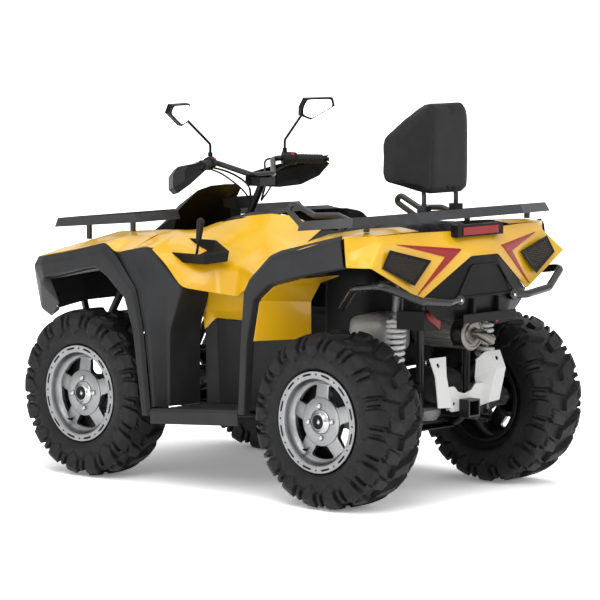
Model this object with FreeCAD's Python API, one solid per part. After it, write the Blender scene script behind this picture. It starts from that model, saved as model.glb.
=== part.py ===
import FreeCAD, Part
import os
from math import cos, sin, tan, pi, radians

# Quad bike, millimetres. +X forward, +Y to the rider's left, +Z up.
# The origin is on the ground under the middle of the machine.
# Points named front() and rear() are measured from that axle's centre.

Vec = FreeCAD.Vector

# Driving dimensions
wheel_base = 1215.0
rear_axle_x = -660.0
tyre_radius = 317.5
lug_height = 17.0
front_wheel_y = 480.0
rear_wheel_y = 456.0
front_tyre_width = 204.0
rear_tyre_width = 254.0
lugs_per_side = 16
rim_ring_radius = 183.0
rim_barrel_radius = 152.0
rim_wall = 6.0
rim_face_inset = 10.0
spoke_count = 5
wheel_stud_circle = 55.0
hub_flange_radius = 62.0
window_inner = 66.0
rim_flange = 12.0
spindle_inset = 110.0
kingpin_y = 428.0
rear_ball_y = 352.0
ball_half = 13.0
ball_height = 75.0
steer_arm_length = 95.0
pitman_length = 82.0
pitman_thickness = 8.0
tie_rod_up = 66.0
stem_tilt_deg = 28.6
stem_foot_back = 55.0
stem_foot_up = 128.0
stem_length = 764.0
stem_radius = 14.0
running_gap = 0.3
panel_wall = 4.0
lamp_proud = 4.0
flare_half_width = 572.0
frame_tube_radius = 15.0
frame_half_width = 130.0
rail_low = -60.0
rail_high = 455.0
drive_half = 80.0
drive_radius = 72.0
front_shock_x = 0.0
front_shock_top_y = 190.0
rear_shock_x = -90.0
rear_shock_top_y = 232.0
shock_eye_radius = 14.0
receiver_up = 19.0
front_arm_spread = 72.0
rear_upright_inset = 18.0
rear_arm_spread = 110.0
arm_pivot_radius = 16.0
arm_tube_radius = 12.0
arm_tip_radius = 9.0
rack_tube_radius = 9.0
rack_band = 34.0
rack_lean = 12.0
rack_wall = 6.0
rack_foot_radius = 11.0
hood_post_radius = 9.0
rear_rack_fall = 0.107
front_rack_fall = 0.0895
grab_tube_radius = 14.0
handlebar_radius = 11.0
grip_radius = 17.0
grip_length = 112.0
handlebar_half_width = 330.0
spring_radius = 36.0
spring_wire = 6.0
receiver_outside = 63.5
receiver_inside = 51.0
receiver_pin_radius = 8.0
receiver_pin_depth = 67.0
muffler_radius = 60.0
muffler_y = -54.0
pad_low = 788.0
post_back = -86.0
post_y = 89.0
post_radius = 9.0
overall_length = 1983.0

front_axle_x = rear_axle_x + wheel_base
axle_height = tyre_radius


def front(forward, y, up):
    """Point measured from the middle of the front axle."""
    return Vec(front_axle_x + forward, y, axle_height + up)


def rear(forward, y, up):
    """Point measured from the middle of the rear axle."""
    return Vec(rear_axle_x + forward, y, axle_height + up)


def other_side(shape):
    """Mirror image across the middle plane."""
    return shape.mirror(Vec(0, 0, 0), Vec(0, 1, 0))


def both_sides(shapes):
    """The given solids and their mirror images."""
    return list(shapes) + [other_side(shape) for shape in shapes]


def fused(shapes):
    """One solid out of pieces that meet, with faces that lie in one plane joined."""
    whole = shapes[0]
    for shape in shapes[1:]:
        whole = whole.fuse(shape)
    merged = whole.copy().removeSplitter()
    return merged if merged.isValid() else whole


def save(node, shapes):
    """Write one node, as one solid or as several that stand apart."""
    solids = []
    for shape in shapes:
        solids.extend(shape.Solids)
    whole = solids[0] if len(solids) == 1 else Part.makeCompound(solids)
    whole.exportStep(os.path.join("parts", node + ".step"))
    if not whole.isValid() or min(solid.Volume for solid in solids) <= 0:
        print("check", node)
    print(node, len(solids), round(whole.Volume / 1000.0))


def ring_wire(points):
    """Closed polygon wire."""
    return Part.makePolygon(list(points) + [points[0]])


def prism(points, along):
    """Flat outline pushed along a vector."""
    return Part.Face(ring_wire(points)).extrude(along)


def box(low, high):
    """Upright box between two corners."""
    size = high - low
    return Part.makeBox(size.x, size.y, size.z, low)


def largest(shape):
    """The biggest solid of a cut shape."""
    return max(shape.Solids, key=lambda piece: piece.Volume)


def rod(start, end, radius, end_radius=None):
    """Round bar between two points, or a cone if the radii differ."""
    along = end - start
    if end_radius is None or end_radius == radius:
        return Part.makeCylinder(radius, along.Length, start, along)
    return Part.makeCone(radius, end_radius, along.Length, start, along)


def tube(points, radius, bend):
    """Round bar along straight runs joined by tangent arcs."""
    edges = []
    start = points[0]
    for before, corner, after in zip(points, points[1:], points[2:]):
        back = before - corner
        ahead = after - corner
        room = 0.45 * min(back.Length, ahead.Length)
        half = back.getAngle(ahead) / 2
        back.normalize()
        ahead.normalize()
        trim = min(bend / tan(half), room)
        arc_radius = trim * tan(half)
        middle = back + ahead
        middle.normalize()
        first = corner + back * trim
        last = corner + ahead * trim
        halfway = corner + middle * (arc_radius / sin(half) - arc_radius)
        edges.append(Part.makeLine(start, first))
        edges.append(Part.Arc(first, halfway, last).toShape())
        start = last
    edges.append(Part.makeLine(start, points[-1]))
    circle = Part.Wire(Part.makeCircle(radius, points[0], points[1] - points[0]))
    return Part.Wire(edges).makePipeShell([circle], True, False)


def patch(a, b, c, d):
    """Flat face through four corners, or the ruled surface between two sides."""
    normal = (c - a).cross(d - b)
    normal.normalize()
    if abs((b - a).dot(normal)) < 1e-7:
        return Part.Face(ring_wire([a, b, c, d]))
    return Part.makeRuledSurface(Part.makeLine(a, b), Part.makeLine(d, c))


def closed_solid(faces):
    """Solid from faces that share their edges."""
    solid = Part.Solid(Part.Shell(faces))
    if solid.Volume < 0:
        solid = solid.reversed()
    return solid


def sheet(rows, wall, inside):
    """Moulded panel: rows of points on the outer skin, thickened towards a point inside."""
    tall = len(rows)
    wide = len(rows[0])
    normals = [[Vec(0, 0, 0) for _ in range(wide)] for _ in range(tall)]
    for i in range(tall - 1):
        for j in range(wide - 1):
            across = rows[i + 1][j + 1] - rows[i][j]
            other = rows[i][j + 1] - rows[i + 1][j]
            normal = across.cross(other)
            if normal.Length > 0:
                normal.normalize()
            for k in (i, i + 1):
                for m in (j, j + 1):
                    normals[k][m] = normals[k][m] + normal
    total = Vec(0, 0, 0)
    for i in range(tall):
        for j in range(wide):
            normals[i][j].normalize()
            outward = 1.0 if normals[i][j].dot(rows[i][j] - inside) > 0 else -1.0
            total = total + Vec(outward, 0, 0)
    sign = 1.0 if total.x > 0 else -1.0
    under = [[rows[i][j] - normals[i][j] * (sign * wall) for j in range(wide)] for i in range(tall)]
    faces = []
    for grid in (rows, under):
        for i in range(tall - 1):
            for j in range(wide - 1):
                faces.append(patch(grid[i][j], grid[i][j + 1], grid[i + 1][j + 1], grid[i + 1][j]))
    for i in range(tall - 1):
        for j in (0, wide - 1):
            faces.append(patch(rows[i][j], rows[i + 1][j], under[i + 1][j], under[i][j]))
    for j in range(wide - 1):
        for i in (0, tall - 1):
            faces.append(patch(rows[i][j], rows[i][j + 1], under[i][j + 1], under[i][j]))
    return closed_solid(faces)


def across(row):
    """A row that starts on the middle plane, with its mirror image."""
    left = [Vec(p.x, -p.y, p.z) for p in reversed(row) if p.y > 0]
    return left + list(row)


def loft(outlines):
    """Straight-sided solid through closed outlines."""
    return Part.makeLoft([ring_wire(outline) for outline in outlines], True, True)


def tyre(width):
    """Tyre about the Y axis: a faceted carcass and two rows of slanted lugs."""
    carcass = tyre_radius - lug_height
    half = width / 2
    count = 2 * lugs_per_side
    widen = 1 / cos(pi / count)
    bead = rim_barrel_radius + running_gap
    side = [(bead, 37), (bead + rim_flange, 30), (rim_ring_radius + running_gap, 23),
            (rim_ring_radius + 6, 8), (carcass - 70, 0), (carcass - 22, 8), (carcass - 3, 28)]
    section = [(r * widen, half - inset) for r, inset in side]
    section = [(r, -y) for r, y in section] + [(r, y) for r, y in reversed(section)]
    rings = []
    for k in range(count):
        angle = 2 * pi * k / count + pi / count
        rings.append([Vec(r * sin(angle), y, -r * cos(angle)) for r, y in section])
    faces = []
    for k in range(count):
        here = rings[k]
        there = rings[(k + 1) % count]
        for j in range(len(section)):
            m = (j + 1) % len(section)
            faces.append(patch(here[j], here[m], there[m], there[j]))
    body = closed_solid(faces)
    lugs = []
    for side in (-1, 1):
        for k in range(lugs_per_side):
            turn = 360.0 * (k + (0.0 if side > 0 else 0.5)) / lugs_per_side
            lug = tyre_lug(width, side)
            lug.rotate(Vec(0, 0, 0), Vec(0, 1, 0), turn)
            lugs.append(lug)
    return body.fuse(lugs)


def tyre_lug(width, side):
    """One lug at the lowest point, from beside the middle out over the shoulder."""
    carcass = tyre_radius - lug_height
    half = width / 2
    stations = [(-0.12, -16, 15, tyre_radius), (0.42, 2, 15, tyre_radius), (0.98, 22, 19, tyre_radius - 20)]
    outlines = []
    for share, shift, breadth, top in stations:
        y = side * half * share
        low = min(carcass, top) - 26 if share > 0.9 else carcass - 8
        outlines.append([Vec(shift - breadth, y, -low), Vec(shift + breadth, y, -low),
                         Vec(shift + breadth * 0.8, y, -top), Vec(shift - breadth * 0.8, y, -top)])
    return loft(outlines)


def rim(width, face, side):
    """Cast wheel about the Y axis, its face towards +Y, with hub and brake disc behind it."""
    back = 22 - width / 2
    ring = rim_ring_radius
    barrel = rim_barrel_radius
    inner = barrel - rim_wall
    outline = [(barrel - 4, face), (ring - 3, face), (ring, face - 4), (ring, face - 12),
               (barrel + rim_flange, face - 20), (barrel, face - 27), (barrel, back + 8),
               (barrel + rim_flange, back + 4), (barrel + rim_flange, back), (inner, back),
               (inner, face - 46), (inner - 6, face - 40)]
    shell = revolved(outline)
    disc = revolved([(26, face - 52), (inner + 2, face - 52), (inner + 2, face - 36), (60, face - 28),
                     (26, face - 28)])
    windows = []
    for k in range(spoke_count):
        window = spoke_window(face)
        window.rotate(Vec(0, 0, 0), Vec(0, 1, 0), 360.0 * (k + 0.5) / spoke_count)
        windows.append(window)
    disc = disc.cut(windows)
    hub = revolved([(0, face - spindle_inset), (36, face - spindle_inset), (36, face - 60),
                    (hub_flange_radius, face - 58), (hub_flange_radius, face - 50), (32, face - 50),
                    (32, face - 16), (26, face - 8), (0, face - 8)])
    nuts = []
    for k in range(4):
        angle = pi * k / 2 + pi / 4
        centre = Vec(wheel_stud_circle * cos(angle), face - 32, wheel_stud_circle * sin(angle))
        nuts.append(Part.makeCylinder(8, 16, centre, Vec(0, 1, 0)))
    whole = fused([shell, disc, hub] + nuts)
    return whole if side > 0 else other_side(whole)


def revolved(profile):
    """Solid of revolution about Y from points of radius and y."""
    wire = ring_wire([Vec(r, y, 0) for r, y in profile])
    return Part.Face(wire).revolve(Vec(0, 0, 0), Vec(0, 1, 0), 360)


def spoke_window(face):
    """Wedge-shaped window between two spokes, pointing up."""
    low, high = window_inner, rim_barrel_radius - 22
    points = [Vec(-17, face - 60, low), Vec(17, face - 60, low), Vec(47, face - 60, high - 12),
              Vec(30, face - 60, high), Vec(-30, face - 60, high), Vec(-47, face - 60, high - 12)]
    window = prism(points, Vec(0, 60, 0))
    upright = [edge for edge in window.Edges if abs(edge.tangentAt(edge.FirstParameter).y) > 0.99]
    return window.makeFillet(6, upright)


def wheels():
    """Four tyres and four wheels, each on its own hub centre."""
    places = (("front", front, front_wheel_y, front_tyre_width),
              ("rear", rear, rear_wheel_y, rear_tyre_width))
    for end, point, wheel_y, width in places:
        rubber = tyre(width)
        for name, side in (("left", 1), ("right", -1)):
            centre = point(0, side * wheel_y, 0)
            shape = rubber.copy() if side > 0 else other_side(rubber)
            shape.translate(centre)
            save(end + "_" + name + "_tyre", [shape])
            metal = rim(width, width / 2 - rim_face_inset, side)
            metal.translate(centre)
            save(end + "_" + name + "_wheel", [metal])


def stem_line():
    """Foot of the steering stem, its direction, its head and the direction square to it, backwards."""
    foot = front(-stem_foot_back, 0, stem_foot_up)
    tilt = radians(stem_tilt_deg)
    along = Vec(-sin(tilt), 0, cos(tilt))
    behind = Vec(-cos(tilt), 0, -sin(tilt))
    return foot, along, foot + along * stem_length, behind


def frame(hood, board):
    """Welded tube frame: rails, uprights, cross tubes, hood posts and footboard outriggers."""
    w = frame_half_width
    r = frame_tube_radius
    low = rail_low
    high = rail_high
    lower = tube([rear(-104, w, high + 25), rear(-104, w, -20), rear(-60, w, low), front(200, w, low),
                  front(290, w, 240)], r, 60)
    upper = tube([front(288, w, 234), front(150, w, high), front(-250, w, high - 25), rear(340, w, high),
                  rear(-104, w, high + 25)], r, 60)
    behind_axle = rear_upright_inset - front_arm_spread
    uprights = [rod(front(front_arm_spread, w, low), front(front_arm_spread, w, high), r),
                rod(front(behind_axle, w, low), front(behind_axle, w, high - 10), r),
                rod(rear(rear_arm_spread, w, low), rear(rear_arm_spread, w, high + 10), r)]
    sides = both_sides([lower, upper] + uprights)
    crosses = [rod(point(x, -half, z), point(x, half, z), r) for point, x, z, half in (
        (rear, 0, low, w), (front, 0, low, w), (front, -400, low, w), (rear, 380, low, w),
        (front, 150, high, w), (rear, 340, high, w),
        (rear, -104, receiver_up, w), (front, 288, 234, w),
        (rear, rear_shock_x, high + 25, shock_tower(rear)), (front, front_shock_x, high, shock_tower(front)))]
    foot, along, _, behind = stem_line()
    for reach in (340, 20):
        hold = foot + along * reach + behind * (stem_radius + r + running_gap)
        crosses.append(rod(hold - Vec(0, w, 0), hold + Vec(0, w, 0), r))
    lower_end = hold + Vec(0, w, 0)
    crosses += both_sides([rod(lower_end, Vec(front(behind_axle, w, 0).x, w, hold.z), r)])
    for x, y in ((150, 90), (-190, w)):
        foot = front(x, y, high if x > 0 else high - 22)
        level = underside(hood, foot, hood_post_radius)
        crosses += both_sides([rod(foot, Vec(foot.x, foot.y, level - running_gap), hood_post_radius)])
    for forward in (-520, -680):
        foot = front(forward, w, low)
        end = front(forward, 500, low)
        end.z = underside(board, end, 1) - running_gap - arm_tube_radius
        crosses += both_sides([rod(foot, end, arm_tube_radius)])
    return fused(sides + crosses)


def underside(panel, spot, radius):
    """Lowest level of a panel over a round patch."""
    levels = []
    for x in (-radius, 0, radius):
        for y in (-radius, 0, radius):
            line = Part.makeLine(Vec(spot.x + x, spot.y + y, 0), Vec(spot.x + x, spot.y + y, overall_length))
            levels.append(line.common(panel).BoundBox.ZMin)
    return min(levels)


def shock_tower(point):
    """Half length of the cross tube that carries the upper shock eyes of one axle."""
    top_y = front_shock_top_y if point is front else rear_shock_top_y
    return top_y - shock_eye_radius - running_gap


def running_gear():
    """Engine block, final drives, half shafts, arms, rear knuckles and shock absorbers."""
    floor = rail_low + frame_tube_radius + running_gap
    save("engine", [box(rear(350, -100, floor), front(-330, 100, 322))])
    drives = []
    for point in (front, rear):
        case = Part.makeSphere(drive_radius, point(0, 0, 0))
        case = case.cut(box(point(-100, -100, floor - 100), point(100, 100, floor)))
        nose = rod(point(0, -drive_half, 0), point(0, drive_half, 0), 42)
        drives.append(fused([case, nose]))
    save("final_drives", drives)
    shafts = []
    for point, end_y in ((front, kingpin_y - 22), (rear, rear_ball_y - 7 - running_gap)):
        inner = rod(point(0, drive_half + running_gap, 0), point(0, 165, 0), 34, 22)
        bar = rod(point(0, 160, 0), point(0, end_y - 18, 0), 13)
        outer = rod(point(0, end_y - 50, 0), point(0, end_y, 0), 20, 32)
        shafts.append(fused([inner, bar, outer]))
    save("half_shafts", both_sides(shafts))
    arms = []
    root_y = frame_half_width + frame_tube_radius + running_gap + arm_pivot_radius
    bodies = []
    springs = []
    eye = Vec(12, 0, 0)
    for point, spread, tip_y, carrier, shock_x, low_y, top_y, top_up in (
            (front, front_arm_spread, kingpin_y, 1, front_shock_x, 300, front_shock_top_y, rail_high),
            (rear, rear_arm_spread, rear_ball_y, -1, rear_shock_x, 272, rear_shock_top_y, rail_high + 25)):
        share = (tip_y - low_y) / (tip_y - root_y)
        for level, root_up in ((-1, -35), (1, 95)):
            tip_up = level * ball_height
            tip = point(0, tip_y, tip_up)
            parts = [rod(tip - Vec(0, 0, ball_half), tip + Vec(0, 0, ball_half), 18)]
            for side in (-1, 1):
                root = point(side * spread, root_y, root_up)
                parts.append(rod(root, tip, arm_tube_radius, arm_tip_radius))
                parts.append(rod(root - Vec(22, 0, 0), root + Vec(22, 0, 0), arm_pivot_radius))
            if level == carrier:
                bar_up = tip_up + share * (root_up - tip_up)
                reach = share * spread
                parts.append(rod(point(min(-reach, shock_x - 14), low_y, bar_up),
                                 point(reach, low_y, bar_up), 9))
                low_up = bar_up + 9 + running_gap + shock_eye_radius
            arms.append(fused(parts))
        foot = point(shock_x, low_y, low_up)
        top = point(shock_x, top_y, top_up)
        along = top - foot
        seat_low = along.Length * 0.34
        seat_high = along.Length * 0.78
        along.normalize()
        bodies.append(fused([rod(foot - eye, foot + eye, shock_eye_radius),
                             rod(top - eye, top + eye, shock_eye_radius),
                             rod(foot, top, 10),
                             rod(foot + along * (seat_low + 60), top - along * 20, 20),
                             rod(foot + along * (seat_low - 6), foot + along * seat_low, spring_radius),
                             rod(foot + along * seat_high, foot + along * (seat_high + 6), spring_radius)]))
        springs.append(coil(foot + along * (seat_low + running_gap),
                            foot + along * (seat_high - running_gap)))
    save("suspension_arms", both_sides(arms))
    face = ball_height - ball_half - running_gap
    spindle_y = rear_wheel_y + rear_tyre_width / 2 - rim_face_inset - spindle_inset - 0.5
    knuckle = fused([rod(rear(0, rear_ball_y - 7, 0), rear(0, rear_ball_y + 36, 0), 46),
                     rod(rear(0, rear_ball_y + 36, 0), rear(0, spindle_y, 0), 36),
                     box(rear(-20, rear_ball_y - 7, -face), rear(20, rear_ball_y + 15, face))])
    save("rear_knuckles", both_sides([knuckle]))
    save("shock_absorbers", both_sides(bodies))
    save("shock_springs", both_sides(springs))


def coil(start, end):
    """Spring drawn as a ribbed sleeve between its two seats."""
    along = end - start
    turns = 9
    pitch = along.Length / turns
    outline = [(spring_radius - 2 * spring_wire, 0)]
    for k in range(turns):
        outline += [(spring_radius - spring_wire, pitch * k), (spring_radius, pitch * (k + 0.5))]
    outline += [(spring_radius - spring_wire, along.Length), (spring_radius - 2 * spring_wire, along.Length)]
    sleeve = Part.Face(ring_wire([Vec(r, 0, z) for r, z in outline])).revolve(Vec(0, 0, 0), Vec(0, 0, 1), 360)
    sleeve.Placement = FreeCAD.Placement(start, FreeCAD.Rotation(Vec(0, 0, 1), along))
    return sleeve


def front_steering():
    """Front knuckles, tie rods and the tilted steering stem."""
    face = ball_height - ball_half - running_gap
    plate = box(front(-24, kingpin_y + 10, -face), front(24, kingpin_y + 24, face))
    spindle_y = front_wheel_y + front_tyre_width / 2 - rim_face_inset - spindle_inset - 0.5
    spindle = rod(front(0, kingpin_y + 8, 0), front(0, spindle_y, 0), 46)
    arm_top = tie_rod_up - ball_half - running_gap
    arm = box(front(-steer_arm_length - 14, kingpin_y - 42, arm_top - 14),
              front(-20, kingpin_y + 18, arm_top))
    blocks = [box(front(-18, kingpin_y - 14, low), front(18, kingpin_y + 20, low + 14))
              for low in (-face, face - 14)]
    knuckle = fused([plate, arm, spindle] + blocks)
    save("front_left_knuckle", [knuckle])
    save("front_right_knuckle", [other_side(knuckle)])
    foot, along, head, behind = stem_line()
    eye = foot + behind * pitman_length
    outer = front(-steer_arm_length, kingpin_y - 28, tie_rod_up)
    inner = Vec(eye.x, 30, outer.z)
    high = Vec(0, 0, ball_half)
    link = fused([rod(outer, inner, 8), rod(outer - high, outer + high, 12),
                  rod(inner - high, inner + high * 0.4, 12)])
    save("left_tie_rod", [link])
    save("right_tie_rod", [other_side(link)])
    pitman = []
    for reach, half in ((-18, 20), (0, 20), (pitman_length + 14, 42)):
        pitman.append(foot + behind * reach + Vec(0, half, 0))
    pitman += mirrored_back(pitman)
    clamp = box(head - Vec(22, 42, 20), head + Vec(22, 42, 10))
    save("steering_stem", [fused([rod(foot, head, stem_radius), prism(pitman, along * -pitman_thickness),
                                  clamp])])


def handlebar():
    """Handlebar, grips with switch blocks, hand guards and mirrors."""
    _, _, head, _ = stem_line()
    bar_z = head.z + 10 + handlebar_radius + running_gap
    half = [Vec(head.x, 0, bar_z), Vec(head.x, 58, bar_z), Vec(head.x + 107, 165, bar_z + 52),
            Vec(head.x, handlebar_half_width, bar_z + 45)]
    bar = tube(mirrored_back(half[1:]) + half[1:], handlebar_radius, 40)
    save("handlebar", [bar])
    run = half[3] - half[2]
    run.normalize()
    tip = half[3] + run * 2
    hole = rod(half[2] - run * 20, half[3] + run * 0.5, handlebar_radius + running_gap)
    grip_start = tip - run * grip_length
    sleeve = rod(grip_start, tip, grip_radius).cut(hole)
    block_end = grip_start - run * 4
    block_start = block_end - run * 44
    switch = rod(block_start, block_end, 25).cut(hole)
    save("grips", both_sides([sleeve, switch]))
    rows = []
    for forward, y, up, tall in ((-5, 24, 0, 17), (60, 34, -30, 38), (140, 16, -55, 50), (210, -30, -70, 46),
                                 (285, -130, -84, 26)):
        middle = half[3] + Vec(forward, y, up)
        inward = Vec(-20, -6, 0) if y > -50 else Vec(-20, 0, 0)
        rows.append([middle + Vec(0, 0, tall) + inward, middle + Vec(0, 0, tall * 0.4),
                     middle - Vec(0, 0, tall * 0.6), middle - Vec(0, 0, tall) + inward])
    guard = sheet(rows, panel_wall, half[3] + Vec(60, -120, -40))
    stay = rod(tip + run * 0.3, tip + run * 26, 8)
    save("handguards", both_sides([fused([guard, stay])]))
    base = block_start + run * 10
    base = Vec(base.x, base.y, base.z + 25 + running_gap)
    stalk = tube([base, base + Vec(0, 0, 45), base + Vec(13, 112, 139)], 5, 14)
    foot_nut = rod(base, base + Vec(0, 0, 14), 9)
    pivot = base + Vec(13, 112, 136)
    outline = [(-8, -2), (40, -18), (142, 34), (128, 66), (2, 66), (-12, 30)]
    flat = [pivot + Vec(-0.24 * y - 0.2 * z, y, z) for y, z in outline]
    normal = Vec(1, 0.24, 0.2)
    normal.normalize()
    shell = prism([p - normal * 4 for p in flat], normal * 18)
    save("mirrors", both_sides([fused([stalk, foot_nut, shell])]))


def main_body():
    """Hood, flares, leg shields, side panels, tank cover, cowl, side covers and footboards."""
    f = flare_half_width
    inside = front(-300, 0, 200)
    hood_rows = [
        across([front(423, 0, 482), front(410, 170, 482), front(375, 320, 482), front(325, 440, 487),
                front(285, f - 54, 494)]),
        across([front(325, 0, 532), front(315, 170, 532), front(295, 300, 532), front(262, 430, 524),
                front(235, f - 27, 508)]),
        across([front(65, 0, 575), front(65, 180, 575), front(45, 300, 600), front(45, 440, 576),
                front(35, f - 20, 544)]),
        across([front(-125, 0, 588), front(-125, 180, 590), front(-130, 300, 612), front(-130, 430, 598),
                front(-130, f - 20, 580)]),
        across([front(-185, 0, 592), front(-185, 180, 598), front(-185, 300, 617), front(-180, 430, 598),
                front(-172, f - 27, 545)]),
        across([front(-245, 0, 595), front(-245, 180, 608), front(-245, 300, 618), front(-255, 420, 604),
                front(-262, f - 32, 560)])]
    side_rows = [
        [front(-262, 175, 614), front(-262, 235, 616), front(-262, 300, 618), front(-268, 400, 606),
         front(-275, f - 36, 566)],
        [front(-333, 175, 641), front(-333, 240, 618), front(-333, 305, 608), front(-333, 405, 598),
         front(-333, f - 47, 577)],
        [front(-405, 190, 655), front(-405, 250, 613), front(-405, 310, 580), front(-405, 400, 563),
         front(-405, f - 60, 515)],
        [front(-471, 200, 668), front(-471, 256, 613), front(-471, 315, 568), front(-471, 400, 533),
         front(-471, f - 77, 428)],
        [front(-555, 212, 683), front(-555, 262, 618), front(-555, 305, 563), front(-555, 380, 505),
         front(-555, 385, 403)],
        [rear(560, 208, 695), rear(560, 258, 623), rear(560, 300, 563), rear(560, 375, 501),
         rear(560, 385, 398)],
        [rear(460, 185, 688), rear(460, 250, 613), rear(460, 330, 555), rear(460, 440, 508),
         rear(460, 470, 428)],
        [rear(360, 150, 643), rear(360, 262, 583), rear(360, 385, 545), rear(360, 500, 505),
         rear(360, f - 24, 453)]]
    hood = sheet(hood_rows, panel_wall, inside)
    side = sheet(side_rows, panel_wall, inside)
    front_arch = front_flare()
    rear_arch = rear_flare()
    block, tray, lever = tray_and_lever()
    shield = leg_shields().cut([front_arch, hood])
    side = side.cut([shield, hood, rear_arch])
    upper, lower, board = lower_sides()
    board = board.cut([shield, front_arch, rear_arch])
    upper = upper.cut([shield, side])
    lower = lower.cut([shield, board, upper])
    top, cowl, dash, pod, neck = console()
    side = largest(side.cut([block]))
    shield = shield.cut([block])
    front_arch = front_arch.cut(hood)
    save("front_body", [hood])
    save("side_panels", both_sides([side]))
    save("lower_side_panels", both_sides([upper]))
    save("front_flares", both_sides([front_arch]))
    save("rear_flares", both_sides([rear_arch]))
    save("leg_shields", both_sides([shield]))
    save("side_covers", both_sides([lower]))
    save("footboards", both_sides([board]))
    sides = both_sides([side])
    dash = largest(dash.cut([hood] + sides))
    save("console", [largest(top.cut(sides + [dash]))])
    save("dash_cowl", [largest(cowl.cut(hood)), fused([dash, neck])])
    save("instrument_pod", [pod])
    save("storage_tray", [tray])
    save("shift_lever", [lever.cut([tray, side])])
    return hood, board


def front_flare():
    """Front mudguard flares: they wrap the corner, cross the arch and run down to the footboard."""
    f = flare_half_width
    rows = [
        [front(415, 330, 478), front(405, 335, 400), front(385, 345, 300), front(360, 330, 275)],
        [front(340, 440, 486), front(365, 450, 410), front(330, 455, 290), front(290, 440, 262)],
        [front(250, f - 32, 504), front(262, f - 17, 470), front(232, f - 22, 400), front(170, f - 60, 330)],
        [front(205, f - 15, 507), front(205, f, 480), front(190, f, 430), front(185, f - 30, 425)],
        [front(30, f - 15, 543), front(20, f, 510), front(-20, f, 476), front(-20, f - 30, 472)],
        [front(-130, f - 15, 578), front(-122, f, 545), front(-84, f, 488), front(-82, f - 30, 483)],
        [front(-185, f - 15, 538), front(-180, f, 510), front(-150, f, 456), front(-146, f - 30, 453)],
        [front(-294, f - 15, 415), front(-285, f, 410), front(-245, f, 380), front(-240, f - 30, 378)],
        [front(-333, f - 15, 265), front(-325, f, 262), front(-290, f, 262), front(-285, f - 30, 262)],
        [front(-371, f - 15, -53), front(-362, f, -53), front(-338, f, -53), front(-334, f - 30, -53)]]
    return sheet(rows, panel_wall, front(0, 300, 0))


def leg_shields():
    """Leg shields behind the front wheels with their rear walls."""
    f = flare_half_width
    rows = [
        [front(-175, f - 27, 541), front(-236, f - 25, 555), front(-333, f - 27, 573),
         front(-345, f - 60, 568), front(-350, 400, 560)],
        [front(-296, f - 18, 412), front(-340, f - 18, 440), front(-425, f - 62, 460),
         front(-471, f - 78, 422), front(-480, 350, 420)],
        [front(-335, f - 18, 262), front(-360, f - 15, 262), front(-405, f - 70, 265),
         front(-415, f - 72, 262), front(-425, 350, 262)],
        [front(-373, f - 18, -20), front(-385, f - 15, -20), front(-405, f - 70, -20),
         front(-412, f - 72, -20), front(-425, 350, -20)]]
    return sheet(rows, panel_wall, front(-100, 300, 200))


def lower_sides():
    """Yellow lower side panels, the dark engine covers under them and the footboards."""
    f = flare_half_width
    upper = [[front(-422, 355, 425), front(-471, 362, 424), rear(500, 362, 424), rear(345, 362, 440)],
             [front(-422, 335, 330), front(-471, 330, 330), rear(500, 328, 335), rear(345, 330, 335)],
             [front(-422, 322, 255), front(-471, 312, 300), rear(500, 308, 302), rear(345, 312, 302)]]
    lower = [[front(-422, 320, 252), front(-471, 310, 297), rear(500, 306, 299), rear(345, 310, 299)],
             [front(-422, 316, 130), front(-471, 300, 130), rear(500, 296, 132), rear(345, 300, 132)],
             [front(-422, 312, -26), front(-471, 292, -26), rear(500, 292, -22), rear(345, 300, -20)]]
    board = []
    for point, forward, drop in ((front, -376, -24), (rear, 390, 8)):
        board.append([point(forward, 255, drop - 6), point(forward, 545, drop - 6),
                      point(forward, f - 12, drop), point(forward, f - 2, drop - 12),
                      point(forward, f - 6, drop - 58)])
    inside = front(-500, 0, 100)
    return [sheet(upper, panel_wall, inside), sheet(lower, panel_wall, inside),
            sheet(board, panel_wall, rear(600, 300, -200))]


def console():
    """Dark top cover between the side panels, the cowl around the stem and the instrument pod."""
    inside = front(-400, 0, 300)
    top = [
        across([front(-388, 0, 666.3), front(-388, 130, 666.3), front(-388, 192, 652)]),
        across([front(-500, 0, 692), front(-500, 135, 690), front(-500, 210, 672)]),
        across([rear(590, 0, 710), rear(590, 140, 707), rear(590, 215, 690)]),
        across([rear(545, 0, 700), rear(545, 140, 697), rear(545, 211, 691)])]
    cowl = [
        across([front(88, 0, 572), front(83, 60, 573), front(73, 110, 574), front(62, 142, 574),
                front(56, 154, 572)]),
        across([front(5, 0, 641), front(3, 65, 638), front(-3, 112, 628), front(-10, 145, 608),
                front(-15, 158, 576)]),
        across([front(-95, 0, 713), front(-93, 70, 710), front(-85, 118, 693), front(-70, 148, 643),
                front(-55, 160, 578)]),
        across([front(-218, 0, 775), front(-210, 70, 772), front(-188, 120, 755), front(-115, 152, 678),
                front(-91, 160, 580)])]
    dash = [
        across([front(-262, 0, 596), front(-262, 110, 600), front(-262, 182, 609)]),
        across([front(-396, 0, 662), front(-396, 110, 662), front(-396, 190, 650)])]
    foot, _, head, _ = stem_line()
    clear = rod(foot, head, stem_radius + 10)
    pod = loft([[front(-262, -50, 690), front(-262, 50, 690), front(-262, 56, 720), front(-262, -56, 720)],
                [front(-325, -52, 688), front(-325, 52, 688), front(-325, 58, 735), front(-325, -58, 735)]])
    neck = box(front(-285, -18, 590), front(-264, 18, 688.9))
    return (sheet(top, panel_wall, inside), sheet(cowl, panel_wall, front(-200, 0, 500)),
            sheet(dash, panel_wall, inside).cut(clear), pod, neck)


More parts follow.
